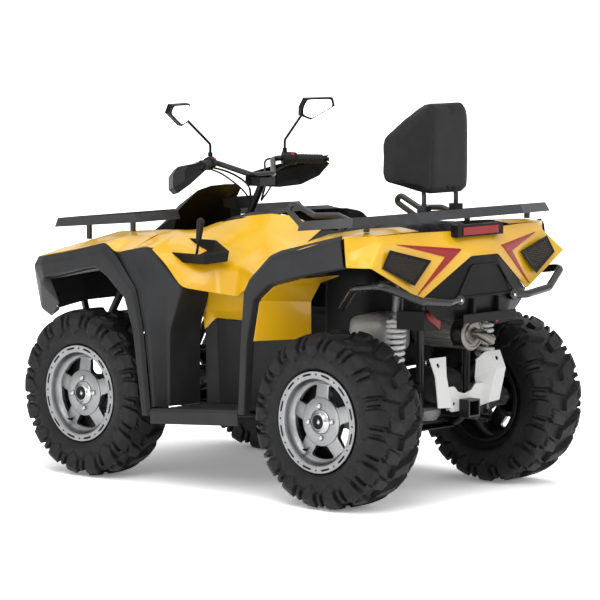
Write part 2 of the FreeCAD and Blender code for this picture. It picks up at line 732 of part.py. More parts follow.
def tray_outline(shrink, drop):
    """Slanted six-sided outline of the storage tray, lower on its outer side."""
    points = [(-320, 335), (-495, 335), (-640, 415), (-555, 462), (-390, 462), (-300, 400)]
    centre = Vec(-470, 400, 0)
    outline = []
    for forward, y in points:
        along = forward - centre.x
        side = y - centre.y
        forward = centre.x + along * (1 - shrink / 160.0)
        y = centre.y + side * (1 - shrink / 62.0)
        outline.append(front(forward, y, 595 - drop - 0.36 * (y - 335)))
    return outline


def tray_and_lever():
    """Storage tray on the left side panel and the shift lever that stands in it."""
    block = loft([tray_outline(12, 40), tray_outline(0, 0)])
    hollow = loft([tray_outline(16, 34), tray_outline(5, -2)])
    lever = fused([rod(front(-455, 400, 538), front(-470, 400, 600), 5),
                   rod(front(-466, 400, 592), front(-478, 400, 665), 10, 15),
                   Part.makeSphere(15, front(-478, 400, 665))])
    return block, block.cut(hollow), lever


def rear_flare():
    """Rear mudguard flares, from the footboard up over the arch to the tail."""
    f = flare_half_width
    rows = [
        [rear(388, f - 15, -5), rear(385, f, -5), rear(355, f, -5), rear(352, f - 30, -5)],
        [rear(373, f - 15, 252), rear(371, f, 250), rear(340, f, 262), rear(336, f - 30, 262)],
        [rear(361, f - 15, 444), rear(355, f, 440), rear(309, f, 417), rear(306, f - 30, 414)],
        [rear(338, f - 15, 489), rear(330, f, 480), rear(232, f, 480), rear(228, f - 30, 476)],
        [rear(237, f - 15, 578), rear(228, f, 565), rear(135, f, 503), rear(133, f - 30, 499)],
        [rear(183, f - 15, 600), rear(178, f, 587), rear(70, f, 518), rear(68, f - 30, 514)],
        [rear(-108, f - 15, 668), rear(-112, f, 650), rear(-126, f - 2, 556), rear(-122, f - 30, 552)]]
    return sheet(rows, panel_wall, rear(0, 300, 0))


def rear_deck(tubes):
    """Rear body, inner arch walls, tail panel, lamps, grilles, seat and backrest."""
    f = flare_half_width
    inside = rear(100, 0, 300)
    deck = [
        [rear(345, 262, 583), rear(345, 400, 540), rear(345, f - 3, 457)],
        [rear(235, 258, 637), rear(235, 400, 610), rear(235, f - 3, 563)],
        [rear(60, 250, 667), rear(60, 430, 657), rear(60, f - 3, 619)],
        [rear(-112, 250, 682), rear(-112, 440, 677), rear(-112, f - 14, 663)],
        [rear(-200, 250, 672), rear(-175, 452, 667), rear(-165, 470, 660)]]
    tail = [
        across([rear(-248, 0, 667), rear(-245, 70, 667), rear(-208, 300, 669), rear(-178, 452, 664),
                rear(-116, f - 18, 662)]),
        across([rear(-298, 0, 590), rear(-296, 70, 590), rear(-238, 300, 620), rear(-200, 449, 640),
                rear(-120, f - 18, 610)]),
        across([rear(-299, 0, 578), rear(-297, 75, 578), rear(-253, 296, 434), rear(-231, f - 31, 560),
                rear(-126, f - 17, 556)])]
    liner = [
        [rear(333, f - 30.3, 262), rear(226, 350, 264)],
        [rear(303, f - 30.3, 411), rear(226, 350, 400)],
        [rear(226, f - 30.3, 473), rear(180, 350, 470)],
        [rear(131, f - 30.3, 496), rear(90, 350, 500)]]
    decks = both_sides([largest(sheet(deck, panel_wall, inside).cut(rear_flare()))])
    tail_skin = sheet(tail, panel_wall, inside)
    body = fused([tail_skin] + decks)
    save("rear_body", [body])
    save("arch_liners", both_sides([sheet(liner, panel_wall, rear(500, 500, 800))]))
    panel = [
        across([rear(-294.7, 0, 585), rear(-292.7, 70, 585), rear(-291, 82, 585)]),
        across([rear(-297, 0, 500), rear(-297, 110, 500), rear(-268.5, 200, 500)]),
        across([rear(-302, 0, 430), rear(-302, 150, 430), rear(-248, 296, 430)])]
    panel = largest(sheet(panel, panel_wall, inside).cut(body))
    save("tail_panel", [panel])
    proud = [[p + Vec(-lamp_proud, 0, 0) for p in row] for row in tail]
    for node, outline in (("tail_lamps", ((388, 634), (113, 606), (314, 451), (186, 580))),
                          ("tail_grilles", ((440, 618), (483, 556), (343, 487), (251, 571)))):
        cutter = prism([rear(-400, y, up) for y, up in outline], Vec(300, 0, 0))
        shape = sheet(proud, 2 * lamp_proud, inside).common(cutter).cut([body])
        save(node, both_sides([largest(shape)]))
    seat_and_backrest(tubes)
    return body, panel


def seat_and_backrest(tubes):
    """Seat with its feet on the frame, and the backrest pad."""
    rows = [(530, 90, 105, 560, 640), (440, 130, 150, 560, 596), (330, 160, 195, 560, 590),
            (245, 175, 230, 560, 640), (180, 190, 236, 560, 672), (-60, 180, 228, 560, 680),
            (-110, 120, 200, 560, 640)]
    outlines = []
    for forward, top_y, low_y, low, high in rows:
        outlines.append([rear(forward, -low_y, low), rear(forward, low_y, low),
                         rear(forward, low_y, high - 30), rear(forward, top_y, high),
                         rear(forward, -top_y, high), rear(forward, -low_y, high - 30)])
    feet = []
    for forward in (0, 240):
        feet.append(box(rear(forward, frame_half_width - 14, rail_high + 15),
                        rear(forward + 40, frame_half_width + 14, 565)))
    save("seat", [fused([loft(outlines)] + both_sides(feet)).cut(tubes)])
    pad = []
    for y, back, low, high in ((-205, 20, 66, 232), (-98, -72, 0, 335), (98, -72, 0, 335),
                               (205, 20, 66, 232)):
        pad.append([rear(back - 55, y, pad_low + low), rear(back, y, pad_low + low),
                    rear(back - 8, y, pad_low + high), rear(back - 58, y, pad_low + high)])
    save("backrest_pad", [loft(pad)])


def racks(body, hood):
    """Front and rear luggage racks with the passenger rails welded to the rear one."""
    fall = rear_rack_fall
    side = [rack_corner(rear(300, 330, 668), 0, fall), rack_corner(rear(300, 537, 668), -445, fall),
            rack_corner(rear(300, 296, 668), -522, fall)]
    parts = [rack_edge(side + mirrored_back(side), fall)]
    for y in (250, post_y, 0, -post_y, -250):
        parts.append(rod(Vec(side[0].x, y, side[0].z), Vec(side[2].x, y, side[2].z), rack_tube_radius))
    save("backrest_posts", both_sides([backrest_post(Vec(side[0].x, post_y, side[0].z),
                                                     Vec(side[2].x, post_y, side[2].z))]))
    for back in (0, 220, 428):
        end = at_x(side[0], side[1], side[0].x - back)
        parts.append(rod(end, Vec(end.x, -end.y, end.z), rack_tube_radius))
        if back > 0:
            parts += both_sides([rack_foot(body, Vec(end.x, end.y - 80, end.z))])
    rail_end = at_x(side[0], side[1], side[0].x - 220)
    rail = [Vec(side[0].x, 318, side[0].z), rear(388, 300, 722), rear(362, 296, 748), rear(265, 290, 706),
            rear(150, 288, 712), Vec(rail_end.x, 288, rail_end.z)]
    parts += both_sides([tube(rail, rack_tube_radius + 2, 26)])
    save("rear_rack", [fused(parts)])
    fall = front_rack_fall
    nose = [rack_corner(front(300, 290, 624), 0, fall), rack_corner(front(300, 452, 624), -65, fall),
            rack_corner(front(300, 455, 624), -490, fall), rack_corner(front(300, 170, 624), -430, fall)]
    ends = mirrored_back(nose)
    parts = [rack_edge(ends + nose, fall)]
    cross = at_x(nose[1], nose[2], nose[0].x - 186)
    lead = at_x(nose[0], nose[1], nose[0].x - 48)
    for end in (cross, lead):
        parts.append(rod(end, Vec(end.x, -end.y, end.z), rack_tube_radius))
    for y, edge in ((330, (nose[3], nose[2])), (180, (nose[3], nose[2])), (60, None)):
        start = at_y(edge[0], edge[1], y) if edge else Vec(cross.x, y, cross.z)
        end = at_y(nose[0], nose[1], y) if y > nose[0].y else Vec(nose[0].x, y, nose[0].z)
        parts += both_sides([rod(start, end, rack_tube_radius)])
    long_tube = [Vec(nose[k].x, 330, nose[k].z) for k in (0, 3)]
    for x in (front_axle_x - 50, front_axle_x + 190):
        parts += both_sides([rack_foot(hood, at_x(*long_tube, x))])
    save("front_rack", [fused(parts)])


def backrest_post(start, end):
    """Post of the backrest, with a saddle that sits on one of the rack's tubes."""
    foot = at_x(start, end, rear_axle_x + post_back)
    saddle = box(foot - Vec(20, 16, 0), foot + Vec(20, 16, 40))
    saddle = saddle.cut(rod(start, end, rack_tube_radius + running_gap))
    top = rear(post_back, post_y, pad_low - running_gap)
    return fused([saddle, rod(foot + Vec(0, 0, 30), top, post_radius)])


def mirrored_back(points):
    """The same points across the middle plane, in the order that closes the outline."""
    return [Vec(p.x, -p.y, p.z) for p in reversed(points)]


def rack_corner(start, forward, fall):
    """Corner of a rack at a distance along the machine from its first corner, in the rack's sloping plane."""
    return start + Vec(forward, 0, -forward * fall)


def at_x(start, end, x):
    """Point of a straight line at the given x."""
    return start + (end - start) * ((x - start.x) / (end.x - start.x))


def at_y(start, end, y):
    """Point of a straight line at the given y."""
    return start + (end - start) * ((y - start.y) / (end.y - start.y))


def rack_edge(path, fall):
    """Flat band round a rack, leaning outwards towards its lower edge and mitred at the corners."""
    square = Vec(fall, 0, 1)
    square.normalize()
    half = rack_band / 2
    section = [(0, half), (-rack_wall, half), (rack_lean - rack_wall, -half), (rack_lean, -half)]
    outs = []
    for start, end in zip(path, path[1:]):
        out = (end - start).cross(square)
        out.normalize()
        outs.append(out)
    rings = []
    for k, corner in enumerate(path):
        before = outs[max(k - 1, 0)]
        after = outs[min(k, len(outs) - 1)]
        mitre = (before + after) * (1 / (1 + before.dot(after)))
        rings.append([corner + mitre * out + square * up for out, up in section])
    faces = [Part.Face(ring_wire(rings[0])), Part.Face(ring_wire(rings[-1]))]
    for here, there in zip(rings, rings[1:]):
        for j in range(len(section)):
            m = (j + 1) % len(section)
            faces.append(patch(here[j], here[m], there[m], there[j]))
    return closed_solid(faces)


def rack_foot(panel, top):
    """Post from a rack tube down to just above the panel under it."""
    highest = 0
    for x in (-rack_foot_radius, 0, rack_foot_radius):
        for y in (-rack_foot_radius, 0, rack_foot_radius):
            line = Part.makeLine(top + Vec(x, y, 0), Vec(top.x + x, top.y + y, 0))
            highest = max(highest, line.common(panel).BoundBox.ZMax)
    return rod(Vec(top.x, top.y, highest + running_gap), top, rack_foot_radius)


def rear_fittings(tubes, body, panel):
    """Grab bar, hitch plate, receiver and muffler."""
    bar = [rear(-300, 150, 425), rear(-318, 218, 422), rear(-308, 357, 436), rear(-245, 510, 497),
           rear(-120, 500, 480), rear(120, 300, 380)]
    bar = tube(bar, grab_tube_radius, 45).cut(panel)
    save("grab_bar", both_sides([largest(bar)]))
    half = receiver_outside / 2
    gap = receiver_inside / 2
    up = receiver_up
    mouth = -253
    square = box(rear(mouth, -half, up - half), rear(-104 - frame_tube_radius - running_gap, half, up + half))
    hollow = box(rear(mouth - 10, -gap, up - gap), rear(mouth + 110, gap, up + gap))
    pin_x = mouth + receiver_pin_depth
    pin = rod(rear(pin_x, -half - 5, up), rear(pin_x, half + 5, up), receiver_pin_radius)
    receiver = square.cut([hollow, pin])
    save("hitch_receiver", [receiver])
    level = 282
    hanger_up = rail_high + 25 - frame_tube_radius - running_gap
    can = fused([rod(rear(-200, muffler_y, level), rear(80, muffler_y, level), muffler_radius),
                 rod(rear(rear_shock_x, muffler_y, level), rear(rear_shock_x, muffler_y, hanger_up), 8),
                 tube([rear(-190, muffler_y - 8, level), rear(-226, muffler_y - 18, level - 6),
                       rear(-250, muffler_y - 45, level - 24)], 17, 25)])
    save("muffler", [can])
    hitch_plate(receiver)
    rear_lights(tubes, body)


def hitch_plate(receiver):
    """White hitch plate: two folded uprights joined by a web that is notched above the receiver."""
    upright = sheet([[rear(-186, 88, 183), rear(-210, 110, 212), rear(-208, 198, 212)],
                     [rear(-178, 90, 117), rear(-238, 139, 148), rear(-236, 198, 148)],
                     [rear(-202, 92, 14), rear(-233, 101, 28), rear(-228, 172, 32)]],
                    panel_wall, rear(-150, 180, 120))
    hole = rod(rear(-260, 165, 185), rear(-180, 165, 185), 8)
    x = -208
    snug = receiver_outside / 2 + running_gap
    outline = [rear(x, 110, 99), rear(x, 60, 99), rear(x, 38, 78), rear(x, 0, 68)]
    outline += mirrored_back(outline[:3])
    low = [rear(x, snug, 48), rear(x, snug, 8), rear(x, 75, 8), rear(x, 95, 24)]
    outline += mirrored_back(low) + low
    web = prism(outline, Vec(5, 0, 0))
    lug_hole = rod(rear(x - 5, 60, 36), rear(x + 10, 60, 36), 7)
    halves = both_sides([upright.cut(hole)])
    save("hitch_plate", [fused([web.cut(both_sides([lug_hole]))] + halves).cut(receiver)])


def rear_lights(tubes, body):
    """Third brake lamp under the rack and the reflector boxes beside the tail."""
    bar = largest(box(rear(-278, -128, 646), rear(-246, 128, 688)).cut(body))
    reflector = loft([
        [rear(-220, 147, 310), rear(-220, 242, 316), rear(-220, 242, 384), rear(-220, 150, 378)],
        [rear(-140, 190, 315), rear(-140, 300, 322), rear(-140, 300, 386), rear(-140, 194, 382)]])
    stay = rod(rear(-104, frame_half_width, 350), rear(-150, 196, 350), 7).cut(tubes)
    stay = max(stay.Solids, key=lambda piece: piece.BoundBox.YMax)
    save("rear_lamps", [bar] + both_sides([fused([reflector, stay])]))


def front_end(tubes, hood):
    """Front fascia, headlamps, bumper and skid plate."""
    fascia = [
        across([front(421, 0, 480), front(408, 170, 480), front(371, 318, 480), front(345, 400, 480)]),
        across([front(425, 0, 420), front(412, 170, 420), front(380, 318, 410), front(352, 395, 400)]),
        across([front(390, 0, 300), front(380, 170, 300), front(350, 300, 290), front(335, 360, 285)])]
    lamps = both_sides([loft([
        [front(360, 190, 425), front(330, 310, 420), front(330, 310, 465), front(360, 190, 468)],
        [front(412, 190, 428), front(382, 310, 424), front(382, 310, 462), front(412, 190, 465)]])])
    save("headlamps", lamps)
    save("front_fascia", [largest(sheet(fascia, panel_wall, front(100, 0, 300)).cut(lamps + [hood]))])
    r = grab_tube_radius
    nose = overall_length / 2 - front_axle_x - r
    side = tube([front(291, 95, 208), front(nose, 112, 205), front(nose, 150, 345)], r, 45)
    bars = [rod(front(nose, -150, 340), front(nose, 150, 340), r),
            rod(front(nose, -118, 225), front(nose, 118, 225), r)]
    save("front_bumper", [fused(both_sides([side]) + bars).cut(tubes)])
    low = rail_low - frame_tube_radius - running_gap
    save("skid_plate", [box(rear(-50, -frame_half_width, low - 4), front(180, frame_half_width, low))])


os.makedirs("parts", exist_ok=True)
wheels()
hood, board = main_body()
tubes = frame(hood, board)
save("frame", [tubes])
running_gear()
front_steering()
handlebar()
body, tail_panel = rear_deck(tubes)
racks(body, hood)
rear_fittings(tubes, body, tail_panel)
front_end(tubes, hood)
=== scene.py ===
import math

import bpy
import numpy as np
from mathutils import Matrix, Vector


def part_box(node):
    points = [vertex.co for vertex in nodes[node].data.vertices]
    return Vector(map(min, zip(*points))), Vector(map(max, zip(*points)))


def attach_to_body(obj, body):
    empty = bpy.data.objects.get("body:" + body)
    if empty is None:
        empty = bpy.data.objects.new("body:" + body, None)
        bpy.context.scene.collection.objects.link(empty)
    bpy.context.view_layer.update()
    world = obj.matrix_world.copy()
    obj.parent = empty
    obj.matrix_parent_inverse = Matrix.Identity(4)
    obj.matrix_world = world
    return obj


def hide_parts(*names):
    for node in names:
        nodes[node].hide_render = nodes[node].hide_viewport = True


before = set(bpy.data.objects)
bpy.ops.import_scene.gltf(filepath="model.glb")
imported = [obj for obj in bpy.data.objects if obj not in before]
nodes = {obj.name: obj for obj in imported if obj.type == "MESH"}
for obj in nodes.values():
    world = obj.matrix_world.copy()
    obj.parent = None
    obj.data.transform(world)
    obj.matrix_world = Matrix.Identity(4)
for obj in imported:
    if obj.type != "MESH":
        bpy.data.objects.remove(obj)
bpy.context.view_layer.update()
print("frame loaded:", len(nodes), "pieces")

# camera and floor
studio = {
    "aim": (-0.055, 0.0, 0.6714),
    "azimuth": 47.32,        # degrees behind the left side
    "elevation": 5.68,
    "distance": 13.0036,
    "lens": 206.75,
    "sensor": 36.0,
    "floorHalf": 40,
    "floorGrey": 0.8,
    "floorSeen": 1.9,        # how pale the camera sees it, so that the shadow stays on white
    "glow": (0.15, 1.0),     # near the object and far from it
    "glowReach": (1.3, 3.4),
    "worldLight": 0.42,
}
# place, height aimed at, size and power
lamps = {
    "keyLamp": ((-2.6, 3.6, 4.2), 0.5, (3.5, 3.0), 108.0),
    "fillLamp": ((-4.8, -1.6, 2.2), 0.6, (3.0, 2.5), 34.0),
    "sideLamp": ((-0.6, 5.2, 1.1), 0.5, (3.0, 1.8), 40.0),
    "topLamp": ((0.2, 0.0, 5.2), 0.0, (6.0, 5.0), 130.0),
}


def aimed(name, data, place, direction):
    thing = bpy.data.objects.new(name, data)
    thing.location = place
    thing.rotation_euler = direction.to_track_quat("-Z", "Y").to_euler()
    bpy.context.scene.collection.objects.link(thing)
    return thing


def addCamera(values):
    a = math.radians(values["azimuth"])
    e = math.radians(values["elevation"])
    towards = Vector((-math.cos(a) * math.cos(e), math.sin(a) * math.cos(e), math.sin(e)))
    data = bpy.data.cameras.new("photoCamera")
    data.lens = values["lens"]
    data.sensor_width = values["sensor"]
    place = Vector(values["aim"]) + towards * values["distance"]
    bpy.context.scene.camera = aimed("photoCamera", data, place, -towards)


def addLamp(name, place, height, size, power):
    data = bpy.data.lights.new(name, "AREA")
    data.shape = "RECTANGLE"
    data.size, data.size_y = size
    data.energy = power
    aimed(name, data, place, Vector((0, 0, height)) - Vector(place))


# one shader value; sums on it add Math nodes
class Value:
    def __init__(self, maker, socket):
        self.maker = maker
        self.socket = socket

    def __add__(self, other):
        return self.maker.sum("ADD", self, other)

    def __radd__(self, other):
        return self.maker.sum("ADD", other, self)

    def __mul__(self, other):
        return self.maker.sum("MULTIPLY", self, other)

    def __pow__(self, other):
        return self.maker.sum("POWER", self, other)


# a node tree's maker: add() puts in any node, settings first, and gives the output that is asked for
class NodeMaker:
    def __init__(self, tree):
        self.tree = tree
        tree.nodes.clear()

    def give(self, node, key, value):
        socket = node.inputs[key]
        if isinstance(value, Value):
            self.tree.links.new(value.socket, socket)
        elif socket.type == "RGBA" and len(value) == 3:
            socket.default_value = (*value, 1.0)
        else:
            socket.default_value = value

    def add(self, kind, settings, inputs, out=0):
        node = self.tree.nodes.new(kind)
        for key, value in settings.items():
            setattr(node, key, value)
        for key, value in inputs.items():
            self.give(node, key, value)
        return Value(self, node.outputs[out])

    def sum(self, kind, first, second):
        return self.add("ShaderNodeMath", {"operation": kind}, {0: first, 1: second})

    def limits(self, value, low, high, newLow=0.0, newHigh=1.0):
        return self.add("ShaderNodeMapRange", {"interpolation_type": "SMOOTHSTEP"},
                        {0: value, 1: low, 2: high, 3: newLow, 4: newHigh})

    # 1 where the camera or a shiny surface sees the studio, 0 where it only lights the object
    def seen(self):
        rays = (self.add("ShaderNodeLightPath", {}, {}, ray) for ray in ("Is Camera Ray", "Is Glossy Ray"))
        return self.sum("MAXIMUM", *rays)


class Finish(NodeMaker):
    def __init__(self, name, **fixed):
        self.material = bpy.data.materials.new(name)
        self.material.use_nodes = True
        super().__init__(self.material.node_tree)
        self.shader = self.tree.nodes.new("ShaderNodeBsdfPrincipled")
        output = self.tree.nodes.new("ShaderNodeOutputMaterial")
        self.tree.links.new(self.shader.outputs[0], output.inputs[0])
        self.surface(**fixed)
        self.place = self.add("ShaderNodeTexCoord", {}, {}, "Object")

    def surface(self, **given):
        for key, value in given.items():
            self.give(self.shader, key.replace("_", " "), value)
        return self.material

    def noise(self, scale, detail=3.0, where=None):
        inputs = {"Vector": where or self.place, "Scale": scale, "Detail": detail, "Roughness": 0.55}
        return self.add("ShaderNodeTexNoise", {}, inputs)

    def blend(self, share, first, second):
        return self.add("ShaderNodeMix", {"data_type": "RGBA"}, {0: share, 6: first, 7: second}, 2)

    def axis(self, letter):
        return self.add("ShaderNodeSeparateXYZ", {}, {0: self.place}, letter)

    def bump(self, height, strength, distance):
        return self.add("ShaderNodeBump", {}, {"Height": height, "Strength": strength, "Distance": distance})


paint = {"amber": (0.93, 0.53, 0.009), "amberDeep": (0.88, 0.475, 0.007), "orangePeel": 0.012, "coat": 0.3}
plastic = {"grey": (0.022, 0.0225, 0.024), "greyWorn": (0.032, 0.0325, 0.034), "grain": 900.0, "depth": 0.2}


def yellowGloss():
    f = Finish("yellowGloss", Coat_Roughness=0.04)
    drift = f.limits(f.noise(2.2), 0.3, 0.7)
    dust = f.limits(f.axis("Z"), 0.55, 0.95, 0.3, 0.0) * f.limits(f.noise(38.0, 5.0), 0.45, 0.75)
    shade = f.blend(drift, paint["amber"], paint["amberDeep"])
    return f.surface(Base_Color=f.blend(dust * 0.15, shade, (0.6, 0.4, 0.2)),
                     Roughness=f.limits(f.noise(6.0), 0.2, 0.8, 0.27, 0.33) + dust * 0.08,
                     Coat_Weight=paint["coat"],
                     Normal=f.bump(f.noise(240.0, 2.0), paint["orangePeel"], 0.001))


def greyGrain(name="greyGrain", shade=plastic["grey"], worn=plastic["greyWorn"], roughness=0.5, gloss=0.2):
    f = Finish(name, Specular_IOR_Level=gloss)
    grain = f.noise(plastic["grain"], 2.0)
    patches = f.limits(f.noise(9.0, 4.0), 0.35, 0.7)
    return f.surface(Base_Color=f.blend(patches * 0.6, shade, worn),
                     Roughness=f.limits(grain, 0.3, 0.7, roughness - 0.06, roughness + 0.08),
                     Normal=f.bump(grain, plastic["depth"], 0.0004))


def blackPaint(name, shade, roughness, coat):
    f = Finish(name, Coat_Roughness=0.08, Specular_IOR_Level=0.3)
    haze = f.limits(f.noise(22.0, 5.0), 0.4, 0.75)
    return f.surface(Base_Color=f.blend(haze * 0.4, shade, tuple(2.0 * c for c in shade)),
                     Roughness=f.limits(f.noise(140.0), 0.3, 0.7, roughness - 0.04, roughness + 0.06),
                     Coat_Weight=coat,
                     Normal=f.bump(f.noise(320.0, 2.0), 0.08, 0.0005))


def metal(name, shade, roughness, streak=(1.0, 1.0, 1.0), dirt=0.3, metallic=1.0):
    f = Finish(name, Metallic=metallic)
    stretched = f.add("ShaderNodeMapping", {}, {"Vector": f.place, "Scale": streak})
    lines = f.noise(90.0, 4.0, where=stretched)
    grime = f.limits(f.noise(14.0, 5.0), 0.5, 0.8)
    return f.surface(Base_Color=f.blend(grime * dirt, shade, tuple(0.45 * c for c in shade)),
                     Roughness=f.limits(lines, 0.3, 0.7, roughness - 0.07, roughness + 0.09) + grime * 0.12,
                     Normal=f.bump(lines, 0.08, 0.0004))


def tyreRubber():
    f = Finish("tyreRubber", Specular_IOR_Level=0.2)
    dust = f.limits(f.noise(26.0, 6.0), 0.45, 0.75)
    return f.surface(Base_Color=f.blend(dust * 0.5, (0.007, 0.007, 0.0075), (0.018, 0.0175, 0.017)),
                     Roughness=f.limits(f.noise(70.0), 0.3, 0.7, 0.45, 0.62),
                     Normal=f.bump(f.noise(420.0, 3.0), 0.2, 0.0006))


def padCloth(name, shade):
    f = Finish(name, Specular_IOR_Level=0.2, Sheen_Weight=0.03, Sheen_Roughness=0.5,
               Sheen_Tint=(0.7, 0.7, 0.72))
    grain = f.add("ShaderNodeTexVoronoi", {"feature": "DISTANCE_TO_EDGE"},
                  {"Vector": f.place, "Scale": 620.0})
    creases = f.noise(16.0, 5.0)
    return f.surface(Base_Color=f.blend(f.limits(creases, 0.4, 0.7), shade, tuple(1.6 * c for c in shade)),
                     Roughness=f.limits(grain, 0.0, 0.3, 0.62, 0.48),
                     Normal=f.bump(f.limits(grain, 0.0, 0.25) + creases * 0.8, 0.22, 0.0006))


# mirror glass: white metal with a faint white glow of its own, painted light standing in for the bright
# studio it reflects
def mirrorGlass():
    f = Finish("mirrorGlass", Metallic=1.0)
    film = f.limits(f.noise(30.0, 4.0), 0.4, 0.8)
    return f.surface(Base_Color=f.blend(film * 0.3, (0.95, 0.96, 0.97), (0.85, 0.86, 0.88)),
                     Roughness=0.02 + film * 0.04,
                     Emission_Color=(1.0, 1.0, 1.0), Emission_Strength=0.15)


def redLens():
    f = Finish("redLens", Coat_Weight=0.1, Coat_Roughness=0.06, Roughness=0.3, Specular_IOR_Level=0.3)
    ribs = f.add("ShaderNodeTexWave", {"wave_type": "BANDS", "bands_direction": "Z"},
                 {"Vector": f.place, "Scale": 55.0})
    return f.surface(Base_Color=f.blend(ribs, (0.30, 0.003, 0.005), (0.40, 0.005, 0.007)),
                     Normal=f.bump(ribs, 0.15, 0.001))


# rows of small holes in a sheet, drawn as dark dots: painted shade where one would see through it
def perforated():
    f = Finish("perforatedSteel", Metallic=0.7)
    cells = f.add("ShaderNodeTexVoronoi", {}, {"Vector": f.place, "Scale": 170.0, "Randomness": 0.25})
    plate = f.limits(cells, 0.22, 0.36)
    return f.surface(Base_Color=f.blend(plate, (0.02, 0.02, 0.019), (0.34, 0.325, 0.3)),
                     Roughness=0.5, Normal=f.bump(plate, 0.35, 0.0008))


looks = {
    "yellow": yellowGloss(),
    "grey": greyGrain(),
    "satin": greyGrain("satinBlack", (0.005, 0.005, 0.0053), (0.010, 0.010, 0.0105), 0.42, 0.12),
    "rack": blackPaint("rackCoat", (0.03, 0.031, 0.034), 0.42, 0.1),
    "tube": blackPaint("tubeGloss", (0.005, 0.005, 0.0055), 0.26, 0.2),
    "frame": blackPaint("frameBlack", (0.006, 0.006, 0.0065), 0.4, 0.05),
    "tyre": tyreRubber(),
    "alloy": metal("alloy", (0.24, 0.243, 0.248), 0.36, dirt=0.2),
    "cast": metal("castGrey", (0.2, 0.2, 0.2), 0.55, dirt=0.6, metallic=0.7),
    "steel": metal("darkSteel", (0.1, 0.1, 0.105), 0.4, dirt=0.5),
    "stainless": metal("heatedStainless", (0.15, 0.14, 0.127), 0.36, streak=(0.1, 1.0, 1.0), dirt=0.5),
    "shield": perforated(),
    "castLight": metal("castAluminium", (0.38, 0.375, 0.365), 0.55, dirt=0.7, metallic=0.6),
    "white": metal("whitePaint", (0.84, 0.84, 0.83), 0.38, dirt=0.12, metallic=0.0),
    "glass": mirrorGlass(),
    # near-black for the engine bay's block, partly painted shade
    "bay": greyGrain("engineBayBlackAndShade", (0.006, 0.006, 0.006), (0.012, 0.012, 0.012), 0.6),
    "button": blackPaint("redButton", (0.35, 0.01, 0.012), 0.4, 0.2),
    "red": redLens(),
    "mesh": blackPaint("bronzeMesh", (0.024, 0.017, 0.012), 0.45, 0.0),
    "pad": padCloth("padCloth", (0.008, 0.008, 0.0084)),
    "grip": greyGrain("gripRubber", (0.012, 0.012, 0.012), (0.02, 0.02, 0.02), 0.6),
    "chrome": metal("chrome", (0.58, 0.58, 0.59), 0.14, dirt=0.1),
    "chromeDull": metal("wornChrome", (0.4, 0.4, 0.405), 0.2, dirt=0.2),
    "clear": metal("lampGlass", (0.75, 0.78, 0.8), 0.12, dirt=0.0, metallic=0.2),
}
print("materials ready:", len(looks))

# the nodes that are seen as they are
wears = {
    "yellow": ["arch_liners"],
    "grey": ["side_covers", "footboards", "front_fascia"],
    "satin": ["console", "dash_cowl", "instrument_pod", "storage_tray", "handguards", "mirrors", "tail_panel",
              "rear_lamps"],
    "rack": ["rear_rack", "front_rack"],
    "tube": ["grab_bar", "front_bumper", "handlebar", "backrest_posts"],
    "frame": ["hitch_receiver", "frame", "steering_stem", "suspension_arms", "skid_plate", "left_tie_rod",
              "right_tie_rod"],
    "cast": ["engine", "final_drives", "rear_knuckles", "front_left_knuckle", "front_right_knuckle"],
    "steel": ["half_shafts", "shock_absorbers"],
    "white": ["hitch_plate"],
    "red": ["tail_lamps"],
    "grip": ["grips", "shift_lever"],
    "clear": ["headlamps"],
}
# radius of their edges
rounded = {"yellow": 0.004, "grey": 0.005, "satin": 0.003, "rack": 0.0012, "white": 0.0015, "cast": 0.002,
           "red": 0.001, "grip": 0.0012, "clear": 0.002}
weldReach = 0.00002


def roundEdges(piece, radius, segments=3, degrees=14):
    bevel = piece.modifiers.new("edges", "BEVEL")
    bevel.width = radius
    bevel.segments = segments
    bevel.limit_method = "ANGLE"
    bevel.angle_limit = math.radians(degrees)


def dress(node, look):
    piece = nodes[node]
    piece.data.materials.clear()
    piece.data.materials.append(looks[look])
    piece.modifiers.new("weld", "WELD").merge_threshold = weldReach
    if look in rounded:
        roundEdges(piece, rounded[look])
    piece.modifiers.new("normals", "WEIGHTED_NORMAL").keep_sharp = True


for look, names in wears.items():
    for name in names:
        dress(name, look)
print("carried-over pieces dressed")


def toArray(points):
    return np.array(points, dtype=float)


def unit(vectors):
    return vectors / np.linalg.norm(vectors, axis=-1, keepdims=True)


# Catmull-Rom: each span is the cubic through its two ends with slopes set by their neighbours
def through(points, count):
    p = toArray(points)
    p = np.vstack([2 * p[0] - p[1], p, 2 * p[-1] - p[-2]])
    t = np.linspace(0, len(p) - 3, count)
    k = np.minimum(t.astype(int), len(p) - 4)
    f = (t - k)[:, None]
    a, b, c, d = p[k], p[k + 1], p[k + 2], p[k + 3]
    square, cube = 2 * a - 5 * b + 4 * c - d, 3 * b - a - 3 * c + d
    return 0.5 * (2 * b + (c - a) * f + square * f ** 2 + cube * f ** 3)
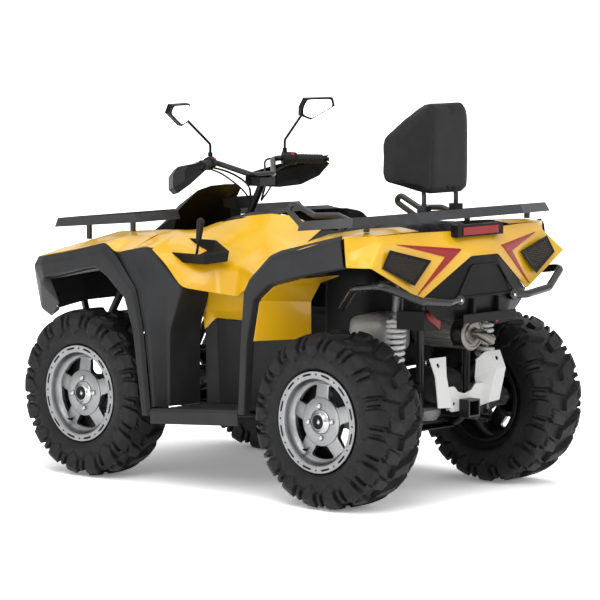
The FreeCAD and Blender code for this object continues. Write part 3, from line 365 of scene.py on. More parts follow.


# one mesh from grids of points; each grid says whether its rows and its columns close, and edges
# steeper than sharp, in degrees, stay sharp; a second look, when given, goes on the back half of each
# grid's columns: painted shade on a panel's inner side
def gridPiece(name, grids, look, sharp=None, innerShadeLook=None):
    points, faces, uvs, inner, start = [], [], [], [], 0
    for grid, closeRows, closeColumns in grids:
        rows, columns = grid.shape[:2]
        index = np.arange(rows * columns).reshape(rows, columns)
        u, v = np.meshgrid(np.linspace(0, 1, rows), np.linspace(0, 1, columns), indexing="ij")
        uv = np.stack([u, v], -1).reshape(-1, 2)
        if closeRows:
            index = np.vstack([index, index[:1]])
        if closeColumns:
            index = np.hstack([index, index[:, :1]])
        quads = np.stack([index[:-1, :-1], index[:-1, 1:], index[1:, 1:], index[1:, :-1]], -1).reshape(-1, 4)
        flat = grid.reshape(-1, 3)
        middle = flat - flat.mean(0)
        a, b, c, d = (middle[quads[:, k]] for k in range(4))
        if np.sum(np.cross(c - a, d - b) * (a + b + c + d)) < 0:
            quads = quads[:, ::-1]
        points.append(flat)
        inner.append(np.tile(np.arange(index.shape[1] - 1) >= columns // 2, len(index) - 1))
        faces.append(quads + start)
        uvs.append(uv[quads].reshape(-1, 2))
        start += rows * columns
    points, faces, uvs = np.concatenate(points), np.concatenate(faces), np.concatenate(uvs)
    mesh = bpy.data.meshes.new(name)
    mesh.vertices.add(len(points))
    mesh.vertices.foreach_set("co", points.ravel())
    mesh.loops.add(faces.size)
    mesh.loops.foreach_set("vertex_index", faces.ravel())
    mesh.polygons.add(len(faces))
    mesh.polygons.foreach_set("loop_start", np.arange(len(faces)) * 4)
    mesh.polygons.foreach_set("use_smooth", np.ones(len(faces), dtype=bool))
    mesh.update(calc_edges=True)
    mesh.uv_layers.new(name="surface").data.foreach_set("uv", uvs.ravel())
    piece = finished(name, mesh, look)
    # the inner side's faces take the second, darker look: painted shade
    if innerShadeLook:
        mesh.materials.append(looks[innerShadeLook])
        mesh.polygons.foreach_set("material_index", np.concatenate(inner).astype(np.int32))
    if sharp:
        mesh.set_sharp_from_angle(angle=math.radians(sharp))
    return piece


def finished(name, mesh, look):
    mesh.materials.append(looks[look])
    piece = bpy.data.objects.new(name, mesh)
    bpy.context.scene.collection.objects.link(piece)
    return piece


# the piece moves with a body and may stand for a node
def attach(piece, body="chassis", node=None):
    if node:
        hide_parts(node)
    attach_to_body(piece, body)


# sharp-edged solids, each a list of corners and a list of faces, with rounded edges
def solidPiece(name, solids, look, edge):
    corners, faces, start = [], [], 0
    for points, sides in solids:
        corners.extend(map(tuple, points))
        faces.extend([[k + start for k in side] for side in sides])
        start += len(points)
    mesh = bpy.data.meshes.new(name)
    mesh.from_pydata(corners, [], faces)
    mesh.update()
    piece = finished(name, mesh, look)
    roundEdges(piece, edge, segments=2, degrees=30)
    return piece


# flat outline pushed along a vector
def prism(outline, along):
    a = toArray(outline)
    n = len(a)
    points = np.vstack([a, a + toArray(along)])
    normal = np.sum(np.cross(a, np.roll(a, -1, axis=0)), axis=0)
    ends = [list(range(n))[::-1], list(range(n, 2 * n))]
    sides = [[k, (k + 1) % n, n + (k + 1) % n, n + k] for k in range(n)]
    if normal @ toArray(along) < 0:
        ends = [end[::-1] for end in ends]
        sides = [side[::-1] for side in sides]
    return points, ends + sides


def block(low, high):
    (x, y, z), (X, Y, Z) = low, high
    return prism([(x, y, z), (X, y, z), (X, Y, z), (x, Y, z)], (0, 0, Z - z))


# two unit vectors square to a direction
def squareTo(direction):
    d = unit(toArray(direction))
    guide = np.where(np.abs(d[..., 2:3]) > 0.9, toArray([1.0, 0, 0]), toArray([0, 0, 1.0]))
    first = unit(np.cross(d, guide))
    return d, first, np.cross(d, first)


# angles evenly spread over a full turn
def fullTurn(count):
    return np.linspace(0, 2 * math.pi, count, endpoint=False)


# circles about paths: cos(a) first + sin(a) second for the angle a
def ringAbout(first, second, a):
    return np.cos(a) * first + np.sin(a) * second


# profile of (distance along, radius) turned about a line through a point
def lathe(profile, start, direction, steps):
    p = toArray(profile)
    d, first, second = squareTo(direction)
    ring = ringAbout(first, second, fullTurn(steps)[:, None, None])
    return toArray(start) + d * p[:, 0][None, :, None] + ring * p[:, 1][None, :, None], True, False


# round bar that follows a path, its ends drawn in to a point
def pipe(path, radius, sides):
    p = toArray(path)
    d, first, second = squareTo(np.gradient(p, axis=0))
    a = fullTurn(sides)[None, :, None]
    size = np.full(len(p), radius) if np.isscalar(radius) else toArray(radius)
    size = np.concatenate([[0.02 * size[0]], size, [0.02 * size[-1]]])
    keep = np.r_[0, np.arange(len(p)), len(p) - 1]
    ring = ringAbout(first[keep][:, None], second[keep][:, None], a)
    return p[keep][:, None] + ring * size[:, None, None], False, True


def bothSides(grids):
    return grids + [(grid * toArray([1, -1, 1]), rows, columns) for grid, rows, columns in grids]


wheelSet = {
    "front": (0.555, 0.480, 0.204),      # axle x, middle plane y, tyre width
    "rear": (-0.660, 0.456, 0.254),
    "radius": 0.3173,
    "axleHeight": 0.3175,
    "rimInset": 0.010,
}
tread = {
    "lugs": 17,
    "depth": 0.018,
    "edge": 0.0045,          # length of a block's slope
    "slant": 0.9,            # shares of a pitch: how far a block leans over
    "shift": 0.25,           # and how far the two halves are set off
    "reach": 0.72,           # shares of half the section: where the blocks end
    "small": (0.40, 0.66, 0.11),     # and where the small ones between them lie, half a block's share
    "notch": (0.33, 0.003, 0.10),    # and the cut through the blocks, half its width, half its share
    "ridges": ((0.80, 0.0012, 0.006), (0.93, 0.0016, 0.008)),    # place, height and breadth
    "lip": (0.154, 0.70),    # inner end of the carcass
    "around": 612,
    "across": 78,
}


# The carcass is a rounded section turned about the axle. The tread stands out by depth where a
# point lies inside a slanted block: its distance from the block's middle line, measured round the
# tyre, is less than half the block's breadth at that place across the tread.
def tyreGrid(x, y, width, side, values):
    half = width / 2
    base = wheelSet["radius"] - values["depth"]
    section = [(0.1835, 0.80), (0.190, 0.88), (0.206, 0.935), (0.232, 0.950), (0.256, 0.915), (0.277, 0.84),
               (base - 0.006, 0.70), (base, 0.41), (base + 0.0015, 0.0)]
    outer = through([(r, -s * half) for r, s in section] + [(r, s * half) for r, s in section[-2::-1]], 600)
    length = np.r_[0, np.cumsum(np.hypot(*np.diff(outer, axis=0).T))]
    pick = np.linspace(0, length[-1], values["across"])
    r, s = (np.interp(pick, length, outer[:, k]) for k in (0, 1))
    dr, ds = np.gradient(r), np.gradient(s)
    size = np.hypot(dr, ds)
    run = length[-1] / 2
    arc = (pick - run) / run
    across = np.abs(arc)
    a = fullTurn(values["around"])[:, None]
    skew = 0.95 * across - 0.55 * across ** 2 + 0.10 * np.tanh((across - 0.34) * 30)
    turns = values["lugs"] * (a / (2 * math.pi)) + skew * values["slant"]
    turns = turns + values["shift"] * np.where(arc > 0, 1.0, -1.0)
    offset = np.abs((turns + 0.5) % 1.0 - 0.5)
    other = np.abs(turns % 1.0 - 0.5)
    pitch = 2 * math.pi * base / values["lugs"]
    breadth = 0.20 + 0.11 * np.clip(across / 0.5, 0, 1) - 0.05 * np.clip((across - 0.5) / 0.2, 0, 1)
    reach = values["reach"] + 0.05 * np.cos(2 * math.pi * turns * 2)
    low, high, smallHalf = values["small"]
    notchAt, notchHalf, notchShare = values["notch"]
    main = np.minimum((breadth - offset) * pitch, (reach - across) * run)
    small = np.minimum((smallHalf - other) * pitch, np.minimum(high - across, across - low) * run)
    notch = np.maximum(np.abs(across - notchAt) * run - notchHalf, (offset - notchShare) * pitch)
    rise = np.clip(main / values["edge"], 0, 1) * np.clip(notch / notchHalf, 0.55, 1)
    rise = np.maximum(rise, 0.75 * np.clip(small / values["edge"], 0, 1))
    rise = rise * rise * (3 - 2 * rise) * values["depth"] * np.clip(1.25 - 0.35 * across / 0.7, 0.8, 1)
    rise = rise + sum(high * np.exp(-((across - at) / wide) ** 2) for at, high, wide in values["ridges"])
    radius = np.minimum(r + ds / size * rise, wheelSet["radius"])
    along = np.clip(s - dr / size * rise, -half, half)
    lip, lipAlong = values["lip"]
    radius = np.hstack([radius, np.full((len(a), 2), lip)])
    along = np.hstack([along, np.broadcast_to([lipAlong * half, -lipAlong * half], (len(a), 2))])
    return np.stack([x + radius * np.sin(a), side * (y + along),
                     wheelSet["axleHeight"] - radius * np.cos(a)], -1), True, True


trim = {
    "windows": 5,
    "window": (0.0885, 0.1345, 0.009),   # inner, outer and corner radius
    "windowHalf": (0.30, 0.13),          # half angle at the inner radius, and its growth
    "spokes": (0.0865, 0.1365, 0.050),   # inner and outer radius, depth of the back
    "spokeFace": (0.031, 0.006),         # depth at the inner radius, and its growth
    "crown": 0.0025,                     # how far a spoke's face bulges
    "slots": 12,
    "slotRadius": 0.1715,
    "slotHalfAngle": 0.125,
    "slotHalfWidth": 0.0037,
    "nuts": 4,
    "nutCircle": 0.057,
    "nutTurn": 0.08,                     # angle of the first nut
    "valve": (0.118, 0.142, 2.45, 0.036),    # reach forward and down, angle from the top, depth
    "barrel": (0.0401, 0.022),           # depth of its front, distance of its end from the tyre's other side
    "barrelRadii": (0.1465, 0.1525, 0.164),      # bore, outside and bead
}
# turned about the axle: distance behind the wheel's face and radius
turned = {
    "rim": [(0.0002, 0.159), (0.0, 0.161), (0.0, 0.1815), (0.002, 0.183), (0.012, 0.183), (0.019, 0.166),
            (0.027, 0.1525), (0.040, 0.1525), (0.040, 0.1465), (0.052, 0.1465), (0.052, 0.1345),
            (0.0385, 0.1345), (0.0365, 0.1365), (0.034, 0.141), (0.028, 0.1475), (0.016, 0.1515),
            (0.006, 0.1535), (0.0015, 0.156), (0.0002, 0.159)],
    "plate": [(0.029, 0.0), (0.0245, 0.030), (0.0235, 0.046), (0.0238, 0.082), (0.0262, 0.0868),
              (0.0305, 0.0885), (0.050, 0.0885), (0.058, 0.036), (0.058, 0.0)],
    "hub": [(0.0581, 0.0), (0.0581, 0.066), (0.066, 0.066), (0.066, 0.036), (0.1095, 0.036), (0.1095, 0.0)],
    "collar": [(0.026, 0.0), (0.0235, 0.044), (0.020, 0.0445), (0.019, 0.040), (0.0165, 0.0385),
               (0.0160, 0.031), (0.0105, 0.030), (0.0098, 0.0285), (0.0088, 0.0275), (0.0088, 0.022),
               (0.012, 0.020), (0.012, 0.0)],
    "pip": [(0.0125, 0.009), (0.0095, 0.0085), (0.0085, 0.0)],
    "ring": [(0.0095, 0.0268), (0.0083, 0.0262), (0.0083, 0.0105), (0.0105, 0.0095)],
}
# the same for small parts about their own axes, from the wheel's face outwards
nutProfile = [(-0.0245, 0.0105), (-0.020, 0.0105), (-0.016, 0.0092), (-0.0135, 0.006), (-0.0128, 0.0)]
rivetProfile = [(-0.0005, 0.0036), (0.0003, 0.0034), (0.0004, 0.0)]
valveProfile = [(0.0, 0.0045), (0.018, 0.0042), (0.022, 0.003), (0.0225, 0.0)]


# a wheel is (x of its axle, y of its face, side); this is the place at a radius and an angle
def onWheel(wheel, radius, angle, depth=0.0):
    x, face, side = wheel
    return x + radius * np.sin(angle), side * (face - depth), wheelSet["axleHeight"] + radius * np.cos(angle)


def hubLathe(wheel, profile, steps=120):
    points = [(-depth, radius) for depth, radius in profile]
    return lathe(points, onWheel(wheel, 0, 0), (0, wheel[2], 0), steps)


# Spokes: the space between two windows, whose half angle shrinks at rounded corners. Each spoke is
# a closed ring of points at every radius from the hub plate to the rim.
def spokeGrids(wheel, values):
    start, stop, behind = values["spokes"]
    low, high, corner = values["window"]
    halfStart, halfGrowth = values["windowHalf"]
    faceStart, faceGrowth = values["spokeFace"]
    count = values["windows"]
    r = np.linspace(start, stop, 30)
    share = (r - low) / (high - low)
    close = np.minimum(r - low, high - r)
    cut = corner - np.sqrt(np.clip(corner ** 2 - np.clip(corner - close, 0, corner) ** 2, 0, None))
    half = halfStart + halfGrowth * share - np.where(close > 0, cut, corner) / r
    t = np.linspace(0, 1, 14)[None, :]
    crown = (faceStart + faceGrowth * share)[:, None] - values["crown"] * np.sin(math.pi * t) ** 0.5
    depth = np.hstack([crown, np.full_like(crown, behind)])
    grids = []
    for k in range(count):
        first = 2 * math.pi * (k + 0.5) / count + half
        last = 2 * math.pi * (k + 1.5) / count - half
        front = first[:, None] * (1 - t) + last[:, None] * t
        angle = np.hstack([front, front[:, ::-1]])
        grids.append((np.stack(onWheel(wheel, r[:, None], angle, depth), -1), False, True))
    return grids


# slots are superellipses |u|^8 + v^2 = 1 bent round the rim, with a rivet between each two
def slotGrids(wheel, values):
    u = np.linspace(-1, 1, 13)[:, None]
    breadth = values["slotHalfWidth"] * np.sqrt(np.clip(1.0004 - np.abs(u) ** 8, 0, 1))
    radius = values["slotRadius"] + breadth * toArray([-1, 1, 1, -1])
    depth = np.broadcast_to(toArray([0.0006, 0.0006, -0.0005, -0.0005]), radius.shape)
    grids = []
    for k in range(values["slots"]):
        angle = 2 * math.pi * (k + 0.5) / values["slots"] + u * values["slotHalfAngle"]
        grids.append((np.stack(onWheel(wheel, radius, angle, depth), -1), False, True))
        rivet = onWheel(wheel, values["slotRadius"], 2 * math.pi * k / values["slots"], -0.0004)
        grids.append(lathe(rivetProfile, rivet, (0, wheel[2], 0), 12))
    return grids


def wheelPieces(end, sideName, side):
    x, y, width = wheelSet[end]
    face = y + width / 2 - wheelSet["rimInset"]
    wheel = (x, face, side)
    front, fromSide = trim["barrel"]
    back = width - wheelSet["rimInset"] - fromSide
    bore, outside, bead = trim["barrelRadii"]
    barrel = [(front, outside), (back - 0.009, outside), (back - 0.004, bead), (back, bead), (back, bore),
              (front, bore), (front, outside)]
    angles = [2 * math.pi * k / trim["nuts"] + trim["nutTurn"] for k in range(trim["nuts"])]
    nuts = [lathe(nutProfile, onWheel(wheel, trim["nutCircle"], a), (0, side, 0), 20) for a in angles]
    forward, down, angle, depth = trim["valve"]
    valveFoot = (x + forward * math.sin(angle), side * (face - depth),
                 wheelSet["axleHeight"] + down * math.cos(angle))
    alloy = [hubLathe(wheel, turned["rim"]), hubLathe(wheel, turned["plate"])] + spokeGrids(wheel, trim)
    shiny = [hubLathe(wheel, turned["collar"], 64), hubLathe(wheel, turned["pip"], 24)] + nuts
    # the barrel, seen through the windows, is dark satin rather than alloy: painted shade inside the wheel
    dark = [hubLathe(wheel, turned["ring"], 48), hubLathe(wheel, barrel), hubLathe(wheel, turned["hub"], 64)]
    dark += slotGrids(wheel, trim) + [lathe(valveProfile, valveFoot, (0, side, 0.2), 12)]
    prefix = end + sideName.capitalize()
    body = end + "_" + sideName
    tyre = tyreGrid(x, y, width, side, tread)
    attach(gridPiece(prefix + "Tread", [tyre], "tyre", sharp=34), body, body + "_tyre")
    attach(gridPiece(prefix + "Alloy", alloy, "alloy", sharp=30), body, body + "_wheel")
    attach(gridPiece(prefix + "Chrome", shiny, "chromeDull"), body)
    attach(gridPiece(prefix + "Slots", dark, "satin"), body)


for endName in ("front", "rear"):
    for sideName, side in (("left", 1), ("right", -1)):
        wheelPieces(endName, sideName, side)
print("tyres and wheels made")

springs = {
    "wire": 0.0072,
    "radius": 0.0305,
    "turns": 9.5,
    "crowd": 0.28,           # how much closer the turns lie at the top
    "span": (0.345, 0.745),  # shares of the damper's length
    "rear": ((-0.750, 0.272, 0.2826), (-0.750, 0.232, 0.7975)),
    "front": ((0.555, 0.300, 0.4254), (0.555, 0.190, 0.7725)),
}


# helix: the wire's middle turns evenly about the damper's line, and where its turns are the share
# t of all, its height is the share t (1 + crowd (1 - t)) of the span
def springGrid(foot, top, values):
    foot, top = toArray(foot), toArray(top)
    d, first, second = squareTo(top - foot)
    low, high = values["span"]
    end = values["wire"] / np.linalg.norm(top - foot)
    t = np.linspace(0, 1, 320)
    rise = low + (high - low) * t * (1 + values["crowd"] * (1 - t))
    rise = np.clip(rise, low + end, high - end)
    a = (2 * math.pi * values["turns"] * t)[:, None]
    path = foot + (top - foot) * rise[:, None] + values["radius"] * ringAbout(first, second, a)
    return pipe(path, values["wire"], 10)


coils = bothSides([springGrid(*springs[end], springs) for end in ("front", "rear")])
attach(gridPiece("springCoils", coils, "white"), node="shock_springs")
print("springs made")

# Moulded panels. Each net is one side's skin in millimetres, from the middle plane out or from the
# inner edge to the outer one; across joins it to its mirror image, and wall is its thickness.
panels = {
    "hood": {"look": "yellow", "node": "front_body", "across": True, "passes": 8, "inside": (0.25, 0, 0.5),
             "net": [
        [(978, 0, 800), (965, 170, 800), (930, 320, 800), (880, 440, 804), (840, 518, 812)],
        [(880, 0, 850), (870, 170, 850), (850, 300, 850), (817, 430, 842), (790, 545, 826)],
        [(620, 0, 892), (620, 180, 892), (600, 300, 918), (600, 440, 894), (590, 552, 862)],
        [(430, 0, 906), (430, 180, 908), (425, 300, 930), (425, 430, 916), (425, 552, 898)],
        [(370, 0, 910), (370, 180, 916), (370, 300, 934), (375, 430, 916), (383, 545, 862)],
        [(310, 0, 912), (310, 180, 926), (310, 300, 936), (300, 420, 922), (293, 540, 878)]]},
    "tankSides": {"look": "yellow", "node": "side_panels", "passes": 9, "inside": (0.25, 0, 0.5), "net": [
        [(307, 175, 927), (307, 235, 931), (307, 300, 935), (298, 400, 924), (290, 537, 881)],
        [(222, 175, 958), (222, 240, 936), (222, 305, 926), (222, 405, 916), (222, 525, 894)],
        [(150, 190, 972), (150, 250, 930), (150, 310, 898), (150, 400, 880), (150, 512, 832)],
        [(84, 200, 986), (84, 256, 930), (84, 315, 886), (84, 400, 850), (84, 495, 746)],
        [(0, 212, 1000), (0, 262, 936), (0, 305, 880), (0, 380, 822), (0, 385, 720)],
        [(-100, 208, 1012), (-100, 258, 940), (-100, 300, 880), (-100, 375, 818), (-100, 385, 716)],
        [(-200, 185, 1006), (-200, 250, 930), (-200, 330, 872), (-200, 440, 826), (-200, 470, 746)],
        [(-300, 150, 960), (-300, 262, 900), (-300, 385, 862), (-300, 500, 822), (-300, 548, 770)]]},
    "frontFlares": {"look": "grey", "node": "front_flares", "passes": 2, "inside": (0.555, 0.3, 0.317),
                    "net": [
        [(970, 330, 796), (960, 335, 718), (940, 345, 618), (915, 330, 592)],
        [(895, 440, 804), (920, 450, 728), (885, 455, 608), (845, 440, 580)],
        [(805, 540, 822), (817, 555, 788), (787, 550, 718), (725, 512, 648)],
        [(760, 557, 824), (760, 572, 798), (745, 572, 748), (740, 542, 742)],
        [(585, 557, 860), (575, 572, 828), (535, 572, 794), (535, 542, 790)],
        [(425, 557, 896), (433, 572, 862), (471, 572, 806), (473, 542, 800)],
        [(370, 557, 856), (375, 572, 828), (405, 572, 774), (409, 542, 770)],
        [(261, 557, 732), (270, 572, 728), (310, 572, 698), (315, 542, 696)],
        [(222, 557, 582), (230, 572, 580), (265, 572, 580), (270, 542, 580)],
        [(184, 557, 264), (193, 572, 264), (217, 572, 264), (221, 542, 264)]]},
    "rearFlares": {"look": "grey", "node": "rear_flares", "passes": 2, "inside": (-0.66, 0.3, 0.317),
                   "net": [
        [(-272, 557, 312), (-275, 572, 312), (-305, 572, 312), (-308, 542, 312)],
        [(-287, 557, 570), (-289, 572, 568), (-320, 572, 580), (-326, 536, 580)],
        [(-299, 557, 762), (-305, 572, 758), (-351, 572, 734), (-358, 536, 729)],
        [(-322, 557, 806), (-330, 572, 798), (-428, 572, 798), (-434, 536, 789)],
        [(-423, 557, 896), (-432, 572, 882), (-525, 572, 820), (-528, 536, 812)],
        [(-477, 557, 918), (-482, 572, 904), (-590, 572, 836), (-592, 542, 832)],
        [(-768, 557, 986), (-772, 572, 968), (-786, 570, 874), (-782, 542, 870)]]},
    "legShields": {"look": "grey", "node": "leg_shields", "passes": 3, "inside": (0.455, 0.3, 0.517),
                   "net": [
        [(380, 545, 858), (319, 547, 872), (222, 545, 890), (210, 512, 886), (205, 400, 878)],
        [(259, 554, 730), (215, 554, 758), (130, 510, 778), (84, 494, 740), (75, 350, 738)],
        [(220, 554, 580), (195, 557, 580), (150, 502, 582), (140, 500, 580), (130, 350, 580)],
        [(182, 554, 298), (170, 557, 298), (150, 502, 298), (143, 500, 298), (130, 350, 298)]]},
    "lowerPanels": {"look": "yellow", "node": "lower_side_panels", "passes": 3,
                    "inside": (0.055, 0, 0.417), "net": [
        [(133, 355, 742), (84, 362, 742), (-160, 362, 742), (-315, 362, 758)],
        [(133, 335, 648), (84, 330, 648), (-160, 328, 652), (-315, 330, 652)],
        [(133, 322, 572), (84, 312, 618), (-160, 308, 620), (-315, 312, 620)]]},
    "rearDeck": {"look": "yellow", "node": "rear_body", "passes": 5, "inside": (-0.56, 0, 0.617), "net": [
        [(-315, 262, 900), (-315, 400, 858), (-315, 569, 774)],
        [(-425, 258, 954), (-425, 400, 928), (-425, 569, 880)],
        [(-600, 250, 984), (-600, 430, 974), (-600, 569, 936)],
        [(-772, 250, 1000), (-772, 440, 994), (-772, 558, 980)],
        [(-860, 250, 990), (-835, 452, 984), (-825, 470, 978)]]},
    "tailSkin": {"look": "yellow", "node": "rear_body", "across": True, "passes": 1,
                 "inside": (-0.56, 0, 0.617), "net": [
        [(-908, 0, 984), (-905, 70, 984), (-868, 300, 986), (-838, 452, 982), (-776, 554, 980)],
        [(-958, 0, 908), (-956, 70, 908), (-898, 300, 938), (-860, 449, 958), (-780, 554, 928)],
        [(-959, 0, 896), (-957, 75, 896), (-913, 296, 752), (-891, 541, 878), (-786, 555, 874)]]},
    "frontLiner": {"look": "bay", "passes": 2, "inside": (0.555, 0.3, 0.317), "net": [
        [(738, 540, 742), (720, 300, 760)], [(535, 540, 789), (535, 300, 800)],
        [(473, 540, 799), (473, 300, 805)], [(409, 540, 769), (409, 300, 775)],
        [(316, 540, 695), (330, 300, 700)], [(272, 540, 582), (290, 300, 590)]]},
    "tailSkirt": {"look": "satin", "across": True, "passes": 3, "inside": (-0.56, 0, 0.7), "net": [
        [(-958, 0, 752), (-956, 150, 752), (-912, 290, 756)],
        [(-954, 0, 712), (-950, 150, 710), (-914, 268, 716)],
        [(-948, 0, 670), (-944, 140, 670), (-918, 214, 674)]]},
}
panelStep = 0.008
panelWall = 0.004


# straight cuts between the rows of a net, so that no gap is longer than the step
def finer(net, step):
    rows = [net[:1]]
    for first, last in zip(net, net[1:]):
        count = max(1, int(math.ceil(np.linalg.norm(last - first, axis=-1).max() / step)))
        t = np.linspace(0, 1, count + 1)[1:, None, None]
        rows.append(first * (1 - t) + last * t)
    return np.concatenate(rows)


# P = (P before + 2 P + P after) / 4 along the rows, as many times as said; the ends stay
def eased(net, passes):
    for _ in range(passes):
        net = np.concatenate([net[:1], (net[:-2] + 2 * net[1:-1] + net[2:]) / 4, net[-1:]])
    return net


# unit normals of a net: the cross product of its two slopes, turned away from a point inside
def netNormals(net, inside):
    cross = np.cross(np.gradient(net, axis=0), np.gradient(net, axis=1))
    normal = cross / np.maximum(np.linalg.norm(cross, axis=-1, keepdims=True), 1e-9)
    return normal * np.sign(np.sum(cross * (net - toArray(inside))))


# The skin and its inner copy, one wall apart along the normals, as one ring of columns. Each net
# is cut finely and then eased, so that its creases turn soft.
def skinGrid(values):
    net = toArray(values["net"]) / 1000
    if values.get("across"):
        net = np.concatenate([net[:, :0:-1] * toArray([1, -1, 1]), net], axis=1)
    for _ in range(2):
        net = eased(finer(net, panelStep), values["passes"]).swapaxes(0, 1)
    inner = net - panelWall * netNormals(net, values["inside"])
    middle = (net + inner) / 2
    rows = np.concatenate([middle[:1], net, middle[-1:]])
    under = np.concatenate([middle[:1], inner, middle[-1:]])
    return np.concatenate([rows, under[:, ::-1]], axis=1), False, True


for name, values in panels.items():
    grids = [skinGrid(values)] if values.get("across") else bothSides([skinGrid(values)])
    # each panel's inner side takes the dark satin look: painted shade, as the yellow and grey plastics are
    # coloured through
    piece = gridPiece(name, grids, values["look"], sharp=42, innerShadeLook="satin")
    attach(piece, node=values.get("node"))
print("panels made")

# Pads: stations of a section from one end to the other, as (place, first low, first high, second
# low, second high) in metres; the section is |u|^power + |v|^power = 1. A seam has a depth and a
# breadth, and seamAt says where its lines run.
backStations = [(0.085, -0.786, -0.733, 1.106, 1.439), (0.100, -0.782, -0.731, 1.108, 1.434),
                (0.150, -0.739, -0.685, 1.131, 1.380), (0.198, -0.701, -0.641, 1.154, 1.318),
                (0.203, -0.694, -0.646, 1.180, 1.292)]
pads = {
    "backrest": {"power": 5.0, "voxel": 0.006, "pressure": 4.0, "cap": 0.006, "shrink": -0.002, "fill": 0.6,
                 "seam": (0.0035, 0.004), "seamAt": (0.098, -0.7095, 0.43), "axes": (1, 0, 2),
                 "stations": [(-place, *rest) for place, *rest in backStations[::-1]] + backStations},
    "seat": {"power": 4.0, "voxel": 0.008, "pressure": 3.0, "cap": 0.007, "shrink": 0.004, "fill": 0.6,
             "seam": (0.004, 0.005), "seamAt": (-0.455, 0.165), "axes": (0, 1, 2), "stations": [
                 (-0.768, -0.190, 0.190, 0.885, 0.945), (-0.755, -0.205, 0.205, 0.880, 0.968),
                 (-0.720, -0.224, 0.224, 0.879, 0.996), (-0.480, -0.232, 0.232, 0.879, 0.989),
                 (-0.415, -0.226, 0.226, 0.879, 0.955), (-0.330, -0.192, 0.192, 0.879, 0.906),
                 (-0.220, -0.148, 0.148, 0.879, 0.912), (-0.145, -0.110, 0.110, 0.880, 0.950),
                 (-0.132, -0.090, 0.090, 0.890, 0.940)]},
}
clothFrames = 20


# sign(x) |x|^p, which turns a circle's sine and cosine into a superellipse's
def signedPower(x, p):
    return np.sign(x) * np.abs(x) ** p


def padGrid(values, around=56):
    s = toArray(values["stations"])
    s[:, [1, 3]] += values["shrink"]
    s[:, [2, 4]] -= values["shrink"]
    s = eased(finer(s[:, None, :], 0.009), 2)[:, 0]
    a = fullTurn(around)[None, :]
    u = signedPower(np.cos(a), 2 / values["power"])
    v = signedPower(np.sin(a), 2 / values["power"])
    close = np.r_[0.02, np.ones(len(s)), 0.02][:, None]
    s = np.concatenate([s[:1], s, s[-1:]])
    first = (s[:, 1] + s[:, 2])[:, None] / 2 + close * u * (s[:, 2] - s[:, 1])[:, None] / 2
    second = (s[:, 3] + s[:, 4])[:, None] / 2 + close * v * (s[:, 4] - s[:, 3])[:, None] / 2
    place = np.broadcast_to(s[:, :1], first.shape)
    return np.stack([(place, first, second)[k] for k in values["axes"]], -1), False, True


def shaped(piece):
    graph = bpy.context.evaluated_depsgraph_get()
    return bpy.data.meshes.new_from_object(piece.evaluated_get(graph))


def meshPoints(mesh):
    points = np.empty(3 * len(mesh.vertices))
    mesh.vertices.foreach_get("co", points)
    return points.reshape(-1, 3)


# the pad is blown up as cloth and no point moves further than the cap
def inflate(piece, values):
    remesh = piece.modifiers.new("even", "REMESH")
    remesh.mode = "VOXEL"
    remesh.voxel_size = values["voxel"]
    bpy.context.view_layer.update()
    even = shaped(piece)
    piece.modifiers.clear()
    piece.data = even
    before = meshPoints(even)
    cloth = piece.modifiers.new("cloth", "CLOTH")
    cloth.settings.use_pressure = True
    cloth.settings.uniform_pressure_force = values["pressure"]
    cloth.settings.effector_weights.gravity = 0
    for moment in range(1, clothFrames + 1):
        bpy.context.scene.frame_set(moment)
    move = meshPoints(shaped(piece)) - before
    piece.modifiers.clear()
    bpy.context.scene.frame_set(1)
    length = np.maximum(np.linalg.norm(move, axis=1, keepdims=True), 1e-9)
    before = before + move * np.minimum(1, values["cap"] / length)
    even.vertices.foreach_set("co", before.ravel())
    even.polygons.foreach_set("use_smooth", np.ones(len(even.polygons), dtype=bool))
    even.update()


# a sewn channel: points sink along their normals by depth * exp(-(distance / breadth)^2)
def sew(piece, seams, values):
    depth, breadth = values["seam"]
    mesh = piece.data
    points = meshPoints(mesh)
    normals = np.empty(3 * len(mesh.vertices))
    mesh.vertex_normals.foreach_get("vector", normals)
    sink = depth * np.exp(-(seams(points, *values["seamAt"]) / breadth) ** 2)
    points -= normals.reshape(-1, 3) * sink[:, None]
    mesh.vertices.foreach_set("co", points.ravel())
    mesh.update()
    soft = piece.modifiers.new("soft", "SUBSURF")
    soft.levels = soft.render_levels = 1


# distances to the seams: two lines up the backrest and one round its rim
def backSeams(p, side, rimX, lean):
    y = np.abs(p[:, 1])
    rim = p[:, 0] - rimX + lean * np.clip(0.2 - y, 0, 0.1)
    return np.minimum(np.abs(y - side), 0.6 * np.abs(rim))


# and to the seat's: one line across it and one along each side
def seatSeams(p, x, side):
    return np.minimum(np.abs(p[:, 0] - x), np.abs(np.abs(p[:, 1]) - side))


def padPiece(name, node, values, seams):
    piece = gridPiece(name, [padGrid(values)], "pad")
    inflate(piece, values)
    sew(piece, seams, values)
    attach(piece, node=node)


padPiece("backrestCushion", "backrest_pad", pads["backrest"], backSeams)
posts = meshPoints(nodes["backrest_posts"].data)
postTop = posts[(posts[:, 1] > 0) & (posts[:, 2] > posts[:, 2].max() - 0.002)].mean(0)
stems = {"sunk": (0, 0, 0.01), "reach": (0.006, 0, 0.05), "radius": 0.0085}
neck = pipe(through([postTop - stems["sunk"], postTop + stems["reach"]], 8), stems["radius"], 16)
attach(gridPiece("backrestStems", bothSides([neck]), "frame"))
padPiece("seatCushion", "seat", pads["seat"], seatSeams)
feet = {"x": (-0.66, -0.42), "y": (-0.13, 0.13), "length": 0.04, "half": 0.014, "low": 0.7885, "high": 0.888}
blocks = [block((x, y - feet["half"], feet["low"]), (x + feet["length"], y + feet["half"], feet["high"]))
          for x in feet["x"] for y in feet["y"]]
attach(solidPiece("seatFeet", blocks, "frame", 0.003))
print("pads made")
